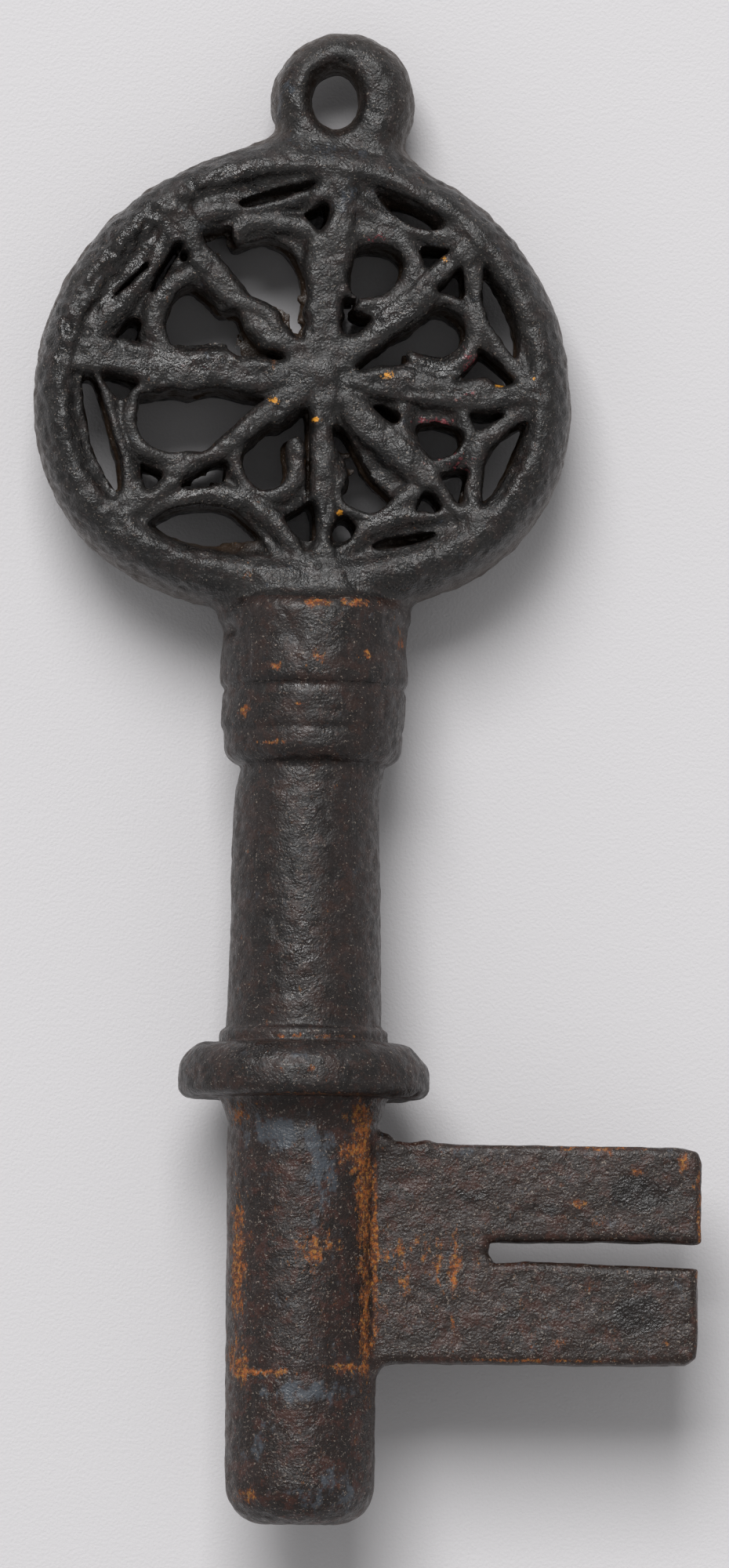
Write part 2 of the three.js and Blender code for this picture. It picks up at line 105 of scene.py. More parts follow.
# Hub, eye and seat
HUB_X = 2.0
HUB_Y = 153.3
HUB_RADIUS = 3.3
HUB_PROUD = 0.2
HUB_POWER = 2.6
EYE_X = 4.0
EYE_Y = 190.2
EYE_RADIUS = 9.65
EYE_HALF_DEPTH = 5.9
EYE_FLANK = 4.2
EYE_HOLE_FLANK = 2.0
EYE_POWER = 2.3
EYE_HOLE_X = 3.1
EYE_HOLE_Y = 190.6
EYE_HOLE_HALF_WIDTH = 3.05
EYE_HOLE_HALF_HEIGHT = 3.75
SEAT_X = 0.85
SEAT_LOW = 121.0
SEAT_HIGH = 131.0
SEAT_RADIUS = 12.4
SEAT_FOOT_RISE = 11.0
SEAT_TOP_RISE = 5.6

# Fillets where members of the casting meet
TURNED_FILLET = 0.45
BIT_FILLET = 0.9
SEAT_FILLET = 1.6
OPENWORK_FILLET = 1.1
EYE_FILLET = 2.2
EYE_ROOT_FILLET = 1.5

# Shoulders of the eye's root, from the eye's middle
EYE_ROOT = [
    (-20.5, -10.8), (-12.6, -6.6), (-8.4, -3.6), (-5.0, 2.0),
    (5.0, 2.0), (8.2, -5.8), (10.4, -9.2), (19.0, -15.0), (0.0, -12.5),
]

# Turned members, in millimetres from the pin's tip, with the rounding of their two edges
Turned = namedtuple("Turned", "foot top foot_radius top_radius foot_round top_round")
TURNED = {
    "pin": Turned(0.35, 54.4, 9.95, 10.15, 5.2, 0.2),
    "fillet": Turned(53.9, 57.2, 10.2, 11.3, 0.2, 0.2),
    "collar": Turned(56.9, 64.1, 16.75, 16.75, 1.5, 4.0),
    "ring": Turned(62.5, 66.1, 11.3, 11.3, 0.3, 0.9),
    "shank": Turned(65.0, 101.6, 10.4, 9.55, 0.2, 0.2),
    "lower_bead": Turned(101.2, 106.0, 11.7, 11.9, 2.6, 0.9),
    "middle_bead": Turned(105.4, 111.8, 12.0, 12.3, 1.3, 1.5),
    "bolster": Turned(111.2, 123.5, 12.6, 12.75, 1.7, 2.3),
}
TURNED_MARGIN = 3.0
HEAD_FOOT = 96.0
HEAD_FULL = 102.0

# Bit with its ward slot
BIT_OUTLINE = [
    (5.0, 20.4), (9.9, 20.4), (10.9, 21.4), (12.6, 21.7), (30.0, 21.75), (44.0, 21.6), (51.2, 21.8),
    (52.5, 22.6), (52.7, 23.8), (52.6, 34.6), (44.0, 34.9), (30.0, 35.4), (25.6, 35.1), (24.7, 36.5),
    (25.0, 37.9), (40.0, 38.1), (53.0, 37.9), (53.0, 48.6), (52.4, 50.0), (50.6, 50.6), (36.0, 50.8),
    (17.0, 50.9), (12.2, 51.0), (11.2, 52.0), (10.0, 52.4), (5.0, 52.4),
]
BIT_HALF_DEPTH = 3.8
BIT_EDGE = 1.1

# Openings of the bow as they show in the photograph, each by points round its edge
OPENINGS = {
    "west_sliver": [(107, 488), (115, 486), (123, 493), (130, 510), (138, 535), (147, 567), (154, 590),
        (157, 611), (156, 630), (152, 637), (139, 621), (127, 600), (118, 577), (113, 553), (107, 530),
        (105, 509)],
    "west_small": [(132, 489), (146, 486), (177, 497), (166, 508), (160, 516), (151, 515), (142, 504)],
    "west_by_south": [(181, 513), (200, 511), (223, 507), (244, 511), (267, 506), (282, 505), (305, 510),
        (338, 517), (337, 521), (317, 534), (296, 555), (270, 576), (258, 583), (223, 586), (200, 582),
        (184, 569), (176, 548), (177, 530)],
    "west_by_north": [(245, 373), (258, 380), (270, 392), (284, 407), (300, 407), (307, 413), (314, 432),
        (326, 448), (338, 455), (352, 457), (365, 467), (352, 470), (338, 466), (320, 464), (305, 463),
        (293, 455), (289, 446), (279, 443), (261, 446), (237, 448), (221, 446), (213, 429), (213, 413),
        (219, 397), (230, 380)],
    "north_west_by_north": [(261, 310), (263, 305), (275, 302), (288, 299), (295, 300), (296, 312),
        (304, 321), (321, 317), (340, 312), (354, 315), (370, 324), (379, 336), (384, 346), (388, 356),
        (392, 373), (393, 384), (390, 397), (388, 408), (393, 418), (388, 429), (386, 440), (380, 439),
        (370, 429), (361, 418), (357, 406), (340, 394), (319, 385), (311, 373), (298, 357), (282, 336),
        (266, 320)],
    "north_west_small": [(147, 440), (153, 432), (160, 421), (172, 414), (180, 418), (181, 429), (178, 436),
        (181, 446), (165, 443)],
    "north_west_slit": [(227, 321), (232, 325), (222, 345), (210, 366), (198, 382), (193, 378), (203, 354),
        (216, 334)],
    "north_slot_by_west": [(388, 283), (402, 274), (416, 269), (420, 280), (410, 303), (401, 297)],
    "north_east_by_north": [(456, 327), (479, 321), (502, 326), (514, 338), (516, 352), (507, 369),
        (490, 383), (474, 389), (455, 389), (447, 378), (447, 352)],
    "north_east_heel": [(438, 392), (458, 393), (451, 404), (462, 411), (474, 416), (458, 432), (439, 434)],
    "north_slit_by_east": [(479, 252), (496, 250), (521, 262), (549, 276), (569, 292), (561, 299),
        (544, 301), (521, 293), (498, 276), (485, 262)],
    "north_east_small": [(540, 326), (573, 328), (559, 340), (545, 352), (540, 342)],
    "east_by_north_small": [(586, 351), (591, 364), (590, 390), (573, 386), (558, 380), (568, 370)],
    "east_slit_by_north": [(619, 343), (631, 358), (645, 382), (657, 406), (662, 430), (661, 450),
        (658, 466), (652, 461), (638, 440), (624, 422), (617, 399), (615, 362)],
    "east_by_north": [(457, 477), (479, 458), (498, 443), (511, 435), (525, 429), (541, 414), (552, 405),
        (561, 402), (576, 407), (589, 419), (593, 432), (588, 447), (575, 459), (560, 463), (545, 462),
        (530, 459), (521, 456), (519, 462), (521, 469), (510, 475), (486, 475), (467, 480)],
    "east_chink": [(611, 455), (629, 467), (645, 483), (655, 496), (638, 500), (620, 490), (591, 492),
        (584, 495), (598, 479), (609, 466)],
    "east_by_south": [(533, 553), (545, 549), (558, 548), (582, 554), (591, 566), (587, 578), (573, 588),
        (554, 594), (542, 585), (533, 571)],
    "east_by_south_heel": [(474, 526), (491, 528), (509, 542), (500, 548), (488, 538)],
    "east_by_south_small": [(600, 537), (620, 539), (641, 537), (627, 547), (610, 557), (603, 549)],
    "east_slit_by_south": [(679, 545), (671, 564), (657, 592), (638, 630), (620, 653), (614, 648),
        (617, 606), (624, 585), (645, 563), (662, 551)],
    "south_east_small": [(563, 615), (594, 610), (593, 630), (587, 651), (575, 634)],
    "south_east_chink": [(530, 658), (544, 636), (561, 653), (556, 662), (535, 662)],
    "south_east_by_south": [(425, 556), (436, 554), (448, 570), (460, 591), (469, 610), (481, 624),
        (497, 640), (502, 646), (484, 662), (469, 665), (453, 658), (439, 650), (436, 639), (443, 618),
        (439, 597), (427, 578)],
    "south_small": [(425, 689), (430, 676), (442, 668), (455, 681), (448, 694), (434, 705), (426, 704)],
    "south_slit_by_east": [(475, 706), (491, 696), (525, 691), (555, 688), (547, 699), (520, 707),
        (486, 710)],
    "south_west_by_south": [(310, 590), (314, 580), (328, 567), (345, 553), (360, 552), (375, 543),
        (392, 529), (396, 545), (397, 575), (397, 612), (396, 640), (390, 645), (390, 618), (389, 590),
        (386, 572), (379, 566), (370, 570), (366, 582), (368, 610), (361, 625), (349, 632), (333, 633),
        (319, 623), (311, 607)],
    "south_wedge": [(363, 669), (384, 657), (397, 648), (402, 662), (403, 690), (402, 700), (394, 713),
        (388, 712), (380, 696), (370, 682)],
    "south_by_west": [(190, 680), (205, 667), (237, 655), (270, 653), (296, 658), (312, 669), (326, 684),
        (336, 695), (345, 712), (347, 720), (310, 719), (275, 717), (240, 711), (209, 698)],
    "south_west_chink": [(233, 631), (247, 616), (263, 604), (288, 597), (290, 611), (286, 623),
        (267, 630)],
    "south_west_small": [(181, 599), (190, 603), (209, 613), (200, 628), (188, 633), (181, 616)],
}

# Grooves that a web of metal closes below the strands' crests
GROOVES = {
    "north_groove_by_west": [(306, 267), (330, 257), (346, 251), (375, 243), (405, 240), (396, 249),
        (365, 260), (346, 265), (318, 271)],
    "north_west_crease": [(186, 345), (190, 349), (172, 368), (158, 381), (145, 390), (150, 380),
        (170, 361)],
    "north_west_nick": [(230, 330), (238, 332), (240, 340), (233, 342)],
}
GROOVE_FLOOR = 2.6

# Where the flash stands: middle in the photograph, how far it runs along the edge in pixels, strength
FLASHED = {
    "left flank of the north spoke": ((394, 395), 62, 0.55),
    "top of the north west opening": ((275, 303), 34, 1.0),
    "under the north west spoke": ((330, 446), 66, 0.9),
    "small opening in the north west": ((158, 432), 34, 0.3),
    "top of the west by south opening": ((235, 505), 50, 0.2),
    "foot of the south west strands": ((262, 628), 30, 0.45),
    "lower left of the seat": ((335, 712), 22, 0.4),
    "right of the south spoke": ((436, 600), 40, 0.5),
}

# Spokes from the hub to the rim, by bearing round the bow in degrees and share of the way out
SPOKES = {
    "north": ([(84, 0.03), (81, 0.28), (82, 0.6), (82, 1.04)], 6.2),
    "north_east": ([(42, 0.03), (42, 0.36), (40, 0.62), (41, 0.82), (42, 1.04)], 4.0),
    "east": ([(1, 0.03), (1, 0.26), (359, 0.5), (359, 0.73), (2, 1.04)], 4.6),
    "south_east": ([(319, 0.03), (319, 0.34), (323, 0.58), (326, 1.04)], 4.0),
    "south": ([(277, 0.03), (275, 0.32), (277, 0.71), (278, 1.04)], 3.6),
    "south_west": ([(213, 0.03), (213, 0.3), (213, 0.5), (214, 0.72), (213, 1.04)], 3.6),
    "west": ([(169, 0.03), (171, 0.25), (174, 0.57), (171, 0.84), (169, 1.04)], 5.4),
    "north_west": ([(132, 0.03), (131, 0.31), (129, 0.54), (126, 1.04)], 5.0),
}

# Chords and scrolls between the spokes, placed in the same way
FRETS = {
    "chord_north_to_north_east": [(82, 0.96), (70, 0.88), (58, 0.89), (50, 0.96), (45, 1.04)],
    "chord_north_east_to_east": [(43, 1.03), (33, 0.92), (23, 0.86), (12, 0.91), (3, 1.04)],
    "chord_east_to_south_east": [(0, 1.04), (353, 0.93), (345, 0.83), (336, 0.85), (326, 1.03)],
    "chord_south_east_to_south": [(328, 1.04), (318, 0.91), (307, 0.85), (294, 0.88), (279, 1.04)],
    "chord_south_to_south_west": [(274, 1.04), (269, 0.98), (258, 0.82), (243, 0.73), (227, 0.74),
        (215, 1.0)],
    "chord_south_west_to_west": [(214, 1.02), (203, 0.9), (192, 0.88), (180, 0.9), (170, 1.03)],
    "chord_west_to_north_west": [(167, 1.03), (157, 0.94), (148, 0.91), (136, 0.92), (127, 1.02)],
    "chord_north_west_to_north": [(125, 0.96), (116, 0.94), (104, 0.89), (93, 0.91), (84, 1.04)],
    "scroll_north_east_by_north": [(82, 0.75), (69, 0.79), (59, 0.83), (50, 0.78), (46, 0.65), (48, 0.51),
        (60, 0.4)],
    "scroll_east_by_north": [(41, 0.6), (35, 0.77), (26, 0.83), (18, 0.82), (12, 0.74), (7, 0.62),
        (9, 0.51), (13, 0.46)],
    "scroll_east_by_south": [(342, 0.42), (331, 0.46), (327, 0.59), (330, 0.7), (338, 0.76), (345, 0.76),
        (355, 0.7)],
    "scroll_south_east_by_south": [(278, 0.45), (286, 0.6), (288, 0.74), (297, 0.8), (309, 0.79),
        (324, 0.76)],
    "scroll_south_west_by_south": [(212, 0.46), (226, 0.57), (239, 0.66), (251, 0.68), (260, 0.6),
        (259, 0.47), (248, 0.36)],
    "scroll_west_by_south": [(174, 0.66), (181, 0.77), (190, 0.81), (199, 0.8), (205, 0.74), (213, 0.59)],
    "scroll_west_by_north": [(128, 0.74), (141, 0.78), (151, 0.79), (159, 0.75), (165, 0.68), (170, 0.6)],
    "scroll_north_west_by_north": [(82, 0.66), (91, 0.75), (100, 0.8), (109, 0.84), (115, 0.81)],
}

# Casting skin: size of each swell and how high it stands, in millimetres
SKIN = [(11.0, 0.16), (4.5, 0.15), (2.1, 0.15), (1.1, 0.11)]
SKIN_SEED = 11
SKIN_HEIGHTS = [55.0, 62.0, 112.0, 125.0]
SHANK_SKIN_SHARE = 0.5
PIN_SKIN_SHARE = 0.5
PIT_SWELL = 1.3
PIT_FROM = 0.35
PIT_DEPTH = 0.3

# Wrinkles across the rim's crest on the upper left
WRINKLE_BEARING = math.radians(150)
WRINKLE_SPREAD = math.radians(40)
WRINKLE_BAND = 2.8
WRINKLE_SWELL = 1.15
WRINKLE_RISE = 0.6

# Lumps and pits of the casting: place in the photograph, reach and height in millimetres
LUMPS = {
    "lump on the upper edge of the bit": ((544, 1460), 1.3, 0.5),
    "lump at the root of the bit": ((500, 1458), 1.5, 0.3),
    "chip on the right of the collar": ((540, 1350), 1.6, -0.5),
    "lump on the left of the collar": ((262, 1342), 1.4, 0.3),
    "pore on the left of the bolster": ((291, 811), 0.8, -0.9),
    "dent in the bolster": ((372, 822), 2.0, -0.35),
    "bulge on the left of the middle bead": ((285, 925), 2.2, 0.35),
    "hollow on the left of the head": ((279, 820), 3.0, -0.3),
    "hollow on the right of the head": ((520, 830), 3.2, -0.3),
    "dent above the ledge": ((400, 768), 1.6, -0.3),
    "ridge above the ledge": ((345, 750), 3.0, 0.4),
    "dent in the pin": ((435, 1753), 2.0, -0.3),
    "chip on the outer edge of the rim": ((548, 240), 1.8, -0.4),
    "chip on the left of the eye": ((346, 165), 1.0, -0.3),
}


# Cells of the noise's lattice, how far its start is from the key, and the least values divided by
NOISE_CELLS = 48
NOISE_START = 1000
LEAST_REACH = 1e-3
LEAST_SIZE = 1e-2
TINY = 1e-12

# Spaces that the members other than the turned ones are worked out in
BIT_SPACE = ((4, 17, -7), (55, 55, 7))
SEAT_SPACE = ((-16, 118, -16), (16, 134, 16))
RIM_SPACE = ((-39, 118, -11), (38, 188, 11))
OPENWORK_SPACE = ((-36, 120, -11), (36, 186, 11))
EYE_SPACE = ((-18, 174, -9), (25, 202, 9))
HUB_SPACE = ((-3, 148, -10), (7, 159, 10))

# Cuts between the members: heights that end those of the column, then boxes by left, right, foot
# and top, and the part of the rim that goes with the eye, by bearings and two far corners
COLUMN_FOOT = -10.0
COLUMN_TOPS = {
    "pin": 54.2, "collar_fillet": 56.9, "collar": 64.5, "seat_ring": 66.0,
    "shank": 100.9, "lower_bead": 105.8, "middle_bead": 111.8,
}
COLUMN_HALF_WIDTH = 60.0
CUT_LAP = 1.0
CUT_HALF_DEPTH = 30.0
BIT_BOX = (10.6, 60.0, 10.0, 56.9)
HEAD_BOXES = {"bolster": (-14.0, 14.6, 100.0, 123.3), "bow_seat": (-12.2, 13.6, 120.0, 128.5)}
EYE_CUT = (50, 122)
EYE_CUT_STEPS = 40
EYE_CUT_CORNERS = [(-25, 210), (40, 210)]
OVAL_STEPS = 180
HUB_SIDES = 32
PAST_RIM = 1.3
SHARP_ANGLE = math.radians(55)

# Noise of the iron's layers: size of a swell in millimetres, octaves, roughness, stretch along the
# key, where on the noise the layer starts, how far on it is full, and its share when full. The sand
# grain is 0.3 to 0.4 mm; what is finer than that is drawn as coarse, so that it shows.
Swell = namedtuple("Swell", "size octaves roughness stretch start edge most", defaults=(1.0, 0.0, 1.0, 1.0))
PALE = Swell(6.0, 6.0, 0.62, 1.0, 0.35, 0.30)
TINT = Swell(2.2, 6.0, 0.7, 1.0, 0.50, 0.10, 0.7)
HOLLOW = Swell(0.42, 4.0, 0.7, 1.0, 0.50, -0.20, 0.7)
# Light specks of worn skin that also paint the lamp's glints on the grain
WORN_AND_GLINT_SPECKS = Swell(0.42, 4.0, 0.7, 1.0, 0.58, 0.12, 0.75)
SCALE = Swell(1.9, 6.0, 0.75, 1.5, 0.60, 0.16)
RUST = Swell(1.1, 6.0, 0.75, 2.0, 0.64, 0.13)
EMBER = Swell(0.9, 5.0, 0.75, 1.0, 0.46, 0.14)
OCHRE = Swell(0.5, 4.0, 0.7, 1.0, 0.52, 0.08, 0.7)
FLECK = Swell(0.8, 6.0, 0.75, 1.0, 0.68, 0.07)
# Painted glints: light grey specks that stand for the lamp sparkling on the sand grains' facets
PAINTED_GLINT_SPECKS = Swell(0.4, 2.0, 0.85, 1.0, 0.64, 0.06, 0.75)
CRUMB = Swell(0.5, 6.0, 0.75, 1.0, 0.95, 0.10)
GLOSS = Swell(0.9, 6.0, 0.75, 1.0, 0.56, 0.12)
STAIN = Swell(1.8, 6.0, 0.75, 1.0, 0.74, 0.30)
SHEEN = Swell(1.26, 3.0, 0.6, 1.0, 0.38, 0.24)
DENTS = Swell(1.6, 1.0, 0.5)
SAND = Swell(0.35, 2.0, 0.5)
PAPER_FIBRE = Swell(0.4, 2.0, 0.5)

# Depth of the fine dents and of the sand grain, height in the openwork where dust ends, and how
# the layers change the roughness
DENT_DEPTH = 0.12
SAND_DEPTH = 0.11
DUST_FULL = 1.5
DUST_END = 6.0
SHEEN_LESS = 0.08
SHEEN_MORE = 0.12
ROUGHNESS_CHANGE = {"rust": 0.3, "gloss": -0.26, "stain": -0.12}
STAIN_MOST = 0.8
GLINT = 0.5
EASED = {"interpolation_type": "SMOOTHSTEP"}

# Colours that the three irons share
HOLLOW_BLACK = "#100d0c"
OCHRE_YELLOW = "#b07a34"
FLECK_RED = "#742f36"
# Light grey of the painted glint specks
PAINTED_GLINT_GREY = "#8f8378"
CRUMB_ORANGE = "#d8942f"
STAIN_BLACK = "#0f0b0a"

# Three looks of the same cast iron: the bow's blackened skin, the shank's brown-black one and the
# pin's, which the lock has worn and damp has rusted
Iron = namedtuple("Iron", "name dark pale tint worn dust dusty rust ember scale "
                          "rust_from scale_from facet_from rough relief")
# The worn colour is a light grey of worn skin and also serves as painted glints
IRONS = {
    "bow_iron": Iron(
        name="sand_cast_iron_blackened", dark="#151414", pale="#272524", tint="#2b2220", worn="#5a5451",
        dust="#3c2d20", dusty=0.7, rust="#5e3a26", ember="#8e5020", scale="#343a42",
        rust_from=0.64, scale_from=0.60, facet_from=0.645, rough=0.37, relief=1.4),
    "shank_iron": Iron(
        name="sand_cast_iron_brown_black", dark="#161211", pale="#281f1d", tint="#35221c", worn="#4c443f",
        dust="#30241c", dusty=0.3, rust="#4e2c1c", ember="#98501f", scale="#33373e",
        rust_from=0.63, scale_from=0.60, facet_from=0.635, rough=0.42, relief=1.1),
    "pin_iron": Iron(
        name="worn_cast_iron_rusted", dark="#170f0c", pale="#261814", tint="#43231a", worn="#544138",
        dust="#38271b", dusty=0.3, rust="#4c2a1a", ember="#9c5620", scale="#42474e",
        rust_from=0.60, scale_from=0.575, facet_from=0.615, rough=0.42, relief=1.4),
}

# Marks on the iron, by slot and kind: place in the photograph, height above the key's middle plane,
# reach across, along and up in millimetres, and how much sooner the layer breaks out there
MARKS = {}
MARKS["bow_iron"] = {
    "scale": {
        "root of the eye": (425, 205, 6, 7, 4, 6, 0.14),
        "north spoke": (440, 262, 7, 5, 5, 6, 0.14),
        # Painted sheen: this scale mark lays a bluish sheen on the glossy left crest of the eye
        "left crest of the eye": (362, 115, 4, 3, 8, 6, 0.12),
    },
    "gloss": {
        "upper left of the rim": (165, 330, 7, 11, 14, 8, 0.3),
        "left of the rim": (75, 440, 6, 5, 10, 8, 0.2),
        "top of the rim": (290, 232, 7, 9, 4, 8, 0.26),
        "left crest of the eye": (362, 120, 4, 2.4, 6, 5, 0.3),
        "west spoke": (240, 472, 7, 13, 3, 5, 0.24),
        "north east spoke": (500, 420, 7, 7, 6, 5, 0.26),
        "east scroll": (565, 470, 6, 6, 4, 5, 0.28),
        "south west chord": (260, 645, 6, 12, 4, 5, 0.22),
        "south east chord": (660, 610, 6, 4, 8, 5, 0.24),
        "south east strands": (500, 670, 6, 6, 4, 5, 0.22),
        "hook at the hub": (460, 410, 6, 4, 2, 5, 0.28),
    },
    "rust": {
        "right shoulder of the rim": (540, 240, 3, 6, 2.5, 6, 0.13),
        "left edge of the north spoke": (396, 350, 3, 1.2, 9, 6, 0.20),
        "root of the south hook": (388, 605, 5, 1.6, 3.0, 4, 0.20),
        "inner side of the eye": (468, 130, 3, 2.2, 4, 4, 0.20),
        "left shoulder of the seat": (318, 740, 7, 2.5, 2.2, 5, 0.16),
        "ledge over the bolster": (455, 783, 10, 8, 1.6, 6, 0.16),
        "hub's left": (350, 470, 6, 3.0, 3.0, 5, 0.12),
    },
    "fleck": {
        "east spoke": (590, 515, 6, 9, 1.6, 4, 0.22),
        "east scroll": (600, 470, 6, 3, 4, 4, 0.22),
        "strand over the east by south opening": (555, 545, 6, 8, 1.2, 4, 0.22),
        "south east strands": (580, 600, 6, 8, 5, 4, 0.16),
        "arch of the north east opening": (478, 312, 6, 4, 1.4, 4, 0.2),
        "left of the hub": (250, 480, 6, 8, 3, 4, 0.14),
    },
    "crumb": {
        "tip of the south west spoke": (352, 523, 6, 2.8, 2.0, 5, 0.7),
        "left end of the east strand": (494, 489, 6, 3.0, 1.6, 6, 0.7),
        "left of the north spoke": (403, 402, 4, 1.4, 2.8, 6, 0.62),
        "head of the south spoke": (404, 546, 7, 2.0, 1.1, 6, 0.66),
        "right end of the east strand": (636, 503, 6, 1.8, 1.0, 6, 0.64),
        "east end of the spoke": (680, 494, 6, 1.3, 1.0, 6, 0.64),
        "small opening in the north east": (567, 342, 6, 1.4, 1.4, 6, 0.64),
        "west small opening": (132, 494, 3, 1.6, 1.6, 6, 0.6),
        "south small opening": (434, 663, 6, 1.4, 1.2, 6, 0.64),
    },
}
MARKS["shank_iron"] = {
    "gloss": {
        "collar's upper left": (320, 1350, 14, 8, 2, 8, 0.26),
        "middle of the shank": (385, 1230, 9, 4, 12, 6, 0.14),
        "edge of the bolster": (400, 885, 12, 10, 1.4, 8, 0.16),
    },
    "rust": {
        "ledge over the bolster": (440, 782, 11, 9, 1.3, 8, 0.22),
        "middle of the ledge": (400, 783, 11, 3.0, 1.5, 8, 0.26),
        "patch on the bolster": (352, 862, 11, 1.9, 1.3, 5, 0.32),
        "second patch on the bolster": (470, 846, 11, 1.1, 1.3, 5, 0.34),
        "middle of the bolster": (400, 850, 12, 3.6, 2.6, 6, 0.14),
        "left of the middle bead": (310, 915, 8, 2.6, 1.8, 6, 0.24),
        "middle bead": (383, 910, 12, 1.1, 0.5, 5, 0.3),
        "lower bead": (345, 958, 11, 4.0, 0.8, 6, 0.22),
        "right of the bolster": (512, 825, 4, 1.6, 4.0, 7, 0.2),
        "foot of the ring": (390, 1330, 10, 12, 0.7, 8, 0.16),
        "foot of the collar": (390, 1404, 12, 17, 0.7, 12, 0.18),
        "front of the collar": (405, 1380, 16, 7, 2, 5, 0.1),
    },
    "scale": {
        # Painted highlight: this scale mark lays a bluish band along the top of the shank, where the lamp's
        # sheen falls
        "middle of the shank": (395, 1120, 9, 4, 16, 5, 0.06),
        "front of the collar": (385, 1355, 16, 5, 1.4, 5, 0.12),
    },
}
MARKS["pin_iron"] = {
    "rust": {
        "left side of the pin": (306, 1610, 5, 1.8, 15, 9, 0.28),
        "left of the fillet": (308, 1425, 6, 3.0, 3.0, 9, 0.24),
        "lower left of the pin": (306, 1740, 5, 3.0, 5, 9, 0.24),
        "right side of the pin": (464, 1530, 6, 1.9, 15, 8, 0.32),
        "lower right side of the pin": (467, 1690, 6, 1.4, 15, 8, 0.26),
        "line at the bit's root": (479, 1590, 5, 0.7, 20, 7, 0.3),
        "upper right of the pin": (462, 1450, 6, 2.4, 6, 8, 0.22),
        "left of the bit": (505, 1610, 4, 5, 9, 5, 0.11),
        "right of the fillet": (455, 1425, 6, 3.6, 2.4, 9, 0.22),
        "band across the pin": (340, 1752, 9, 7.5, 1.1, 7, 0.28),
        "band's right end": (432, 1745, 9, 4.5, 0.7, 7, 0.24),
        "middle patch": (402, 1600, 10, 6, 5, 5, 0.19),
        "patch under the scale": (445, 1480, 9, 2.2, 5, 5, 0.2),
        "foot of the root": (455, 1750, 6, 4, 1.4, 8, 0.18),
        "tip of the pin": (320, 1905, 5, 3.4, 2.6, 7, 0.18),
        "outer edge of the bit": (889, 1570, 2, 0.7, 16, 5, 0.26),
        "upper edge of the bit": (760, 1468, 3, 12, 0.9, 3, 0.17),
        "lower edge of the bit": (680, 1737, 2, 20, 0.5, 5, 0.22),
        "spot in the bit": (738, 1538, 4, 1.7, 1.1, 3, 0.32),
        "spot over the slot": (812, 1500, 4, 1.6, 0.9, 3, 0.26),
        "inner end of the slot": (560, 1610, 4, 9, 6, 3, 0.10),
        "lower patch of the bit": (708, 1716, 4, 2.6, 1.4, 3, 0.2),
        "seam across the bit": (578, 1640, 4, 1.0, 14, 3, 0.17),
        "upper right corner of the bit": (868, 1486, 4, 1.6, 2.4, 3, 0.2),
    },
    "scale": {
        "under the fillet": (365, 1452, 9, 10, 3.8, 7, 0.27),
        "middle of the pin": (413, 1510, 10, 3.4, 9, 6, 0.22),
        "under the band": (395, 1778, 10, 9, 2.6, 6, 0.22),
        "tip of the pin": (420, 1905, 8, 6, 5, 7, 0.2),
        "left of the tip": (330, 1850, 8, 3, 5, 7, 0.12),
        "upper edge of the bit": (600, 1474, 4, 8, 1.6, 3, 0.12),
    },
    "stain": {
        "upper right of the bit": (815, 1525, 4, 9, 5, 5, 0.7),
        "lower right of the bit": (812, 1682, 4, 7, 5.4, 5, 0.8),
        "upper middle of the bit": (700, 1545, 4, 7, 2.4, 5, 0.5),
        "upper left of the bit": (600, 1530, 4, 7, 4, 5, 0.4),
        "under the slot": (650, 1680, 4, 6, 3, 5, 0.4),
    },
}


def from_photo(point):
    """Place in the key's plane of a pixel of the photograph."""
    right = (point[0] - TIP_U) * PIXEL
    up = (TIP_V - point[1]) * PIXEL
    return (
        right * math.cos(KEY_LEAN) - up * math.sin(KEY_LEAN),
        right * math.sin(KEY_LEAN) + up * math.cos(KEY_LEAN),
    )


def smooth_loop(points, between=5):
    """Closed curve through the points, with more points between each two."""
    ring = np.array(points, float)
    before, after, beyond = np.roll(ring, 1, 0), np.roll(ring, -1, 0), np.roll(ring, -2, 0)
    rows = []
    for share in np.arange(between) / between:
        square, cube = share**2, share**3
        rows.append(
            0.5 * ((2 * ring) + (after - before) * share
                   + (2 * before - 5 * ring + 4 * after - beyond) * square
                   + (3 * ring - before - 3 * after + beyond) * cube)
        )
    return np.stack(rows, 1).reshape(-1, 2)


def loop_distance(x, y, points):
    """Signed distance to a closed outline in the plane, negative inside it."""
    ring = np.array(points, float)
    nearest = np.full(np.broadcast(x, y).shape, np.inf)
    inside = np.zeros(nearest.shape, bool)
    for (ax, ay), (bx, by) in zip(ring, np.roll(ring, -1, 0)):
        ex, ey = bx - ax, by - ay
        px, py = x - ax, y - ay
        share = np.clip((px * ex + py * ey) / (ex * ex + ey * ey + TINY), 0, 1)
        nearest = np.minimum(nearest, (px - ex * share) ** 2 + (py - ey * share) ** 2)
        crosses = (ay > y) != (by > y)
        inside ^= crosses & (px < ex * py / np.where(ey == 0, TINY, ey))
    return np.where(inside, -1, 1) * np.sqrt(nearest)


def ridge(off_crest, flank, z, rise, power):
    """Field of a rounded ridge: negative inside, by the way from its crest line and its half depth."""
    across = np.maximum(off_crest, 0)
    reach = ((across / flank) ** power + (np.abs(z) / rise) ** power) ** (1 / power)
    reach = np.maximum(reach, LEAST_REACH)
    size = np.maximum(np.hypot(across, z), LEAST_SIZE)
    return np.maximum(size * (1 - 1 / reach), -OUTSIDE)


def rounded_slab(inwards, height, rise, edge):
    """Field of an upright slab with rounded edges, by the way in from its edge and the height."""
    out = edge - inwards
    over = np.abs(height) - rise + edge
    corner = np.hypot(np.maximum(out, 0), np.maximum(over, 0))
    return corner + np.minimum(np.maximum(out, over), 0) - edge


def smooth_union(a, b, fillet):
    """Two fields joined with a fillet between them."""
    near = np.maximum(fillet - np.abs(a - b), 0) / fillet
    return np.minimum(a, b) - near * near * fillet / 4


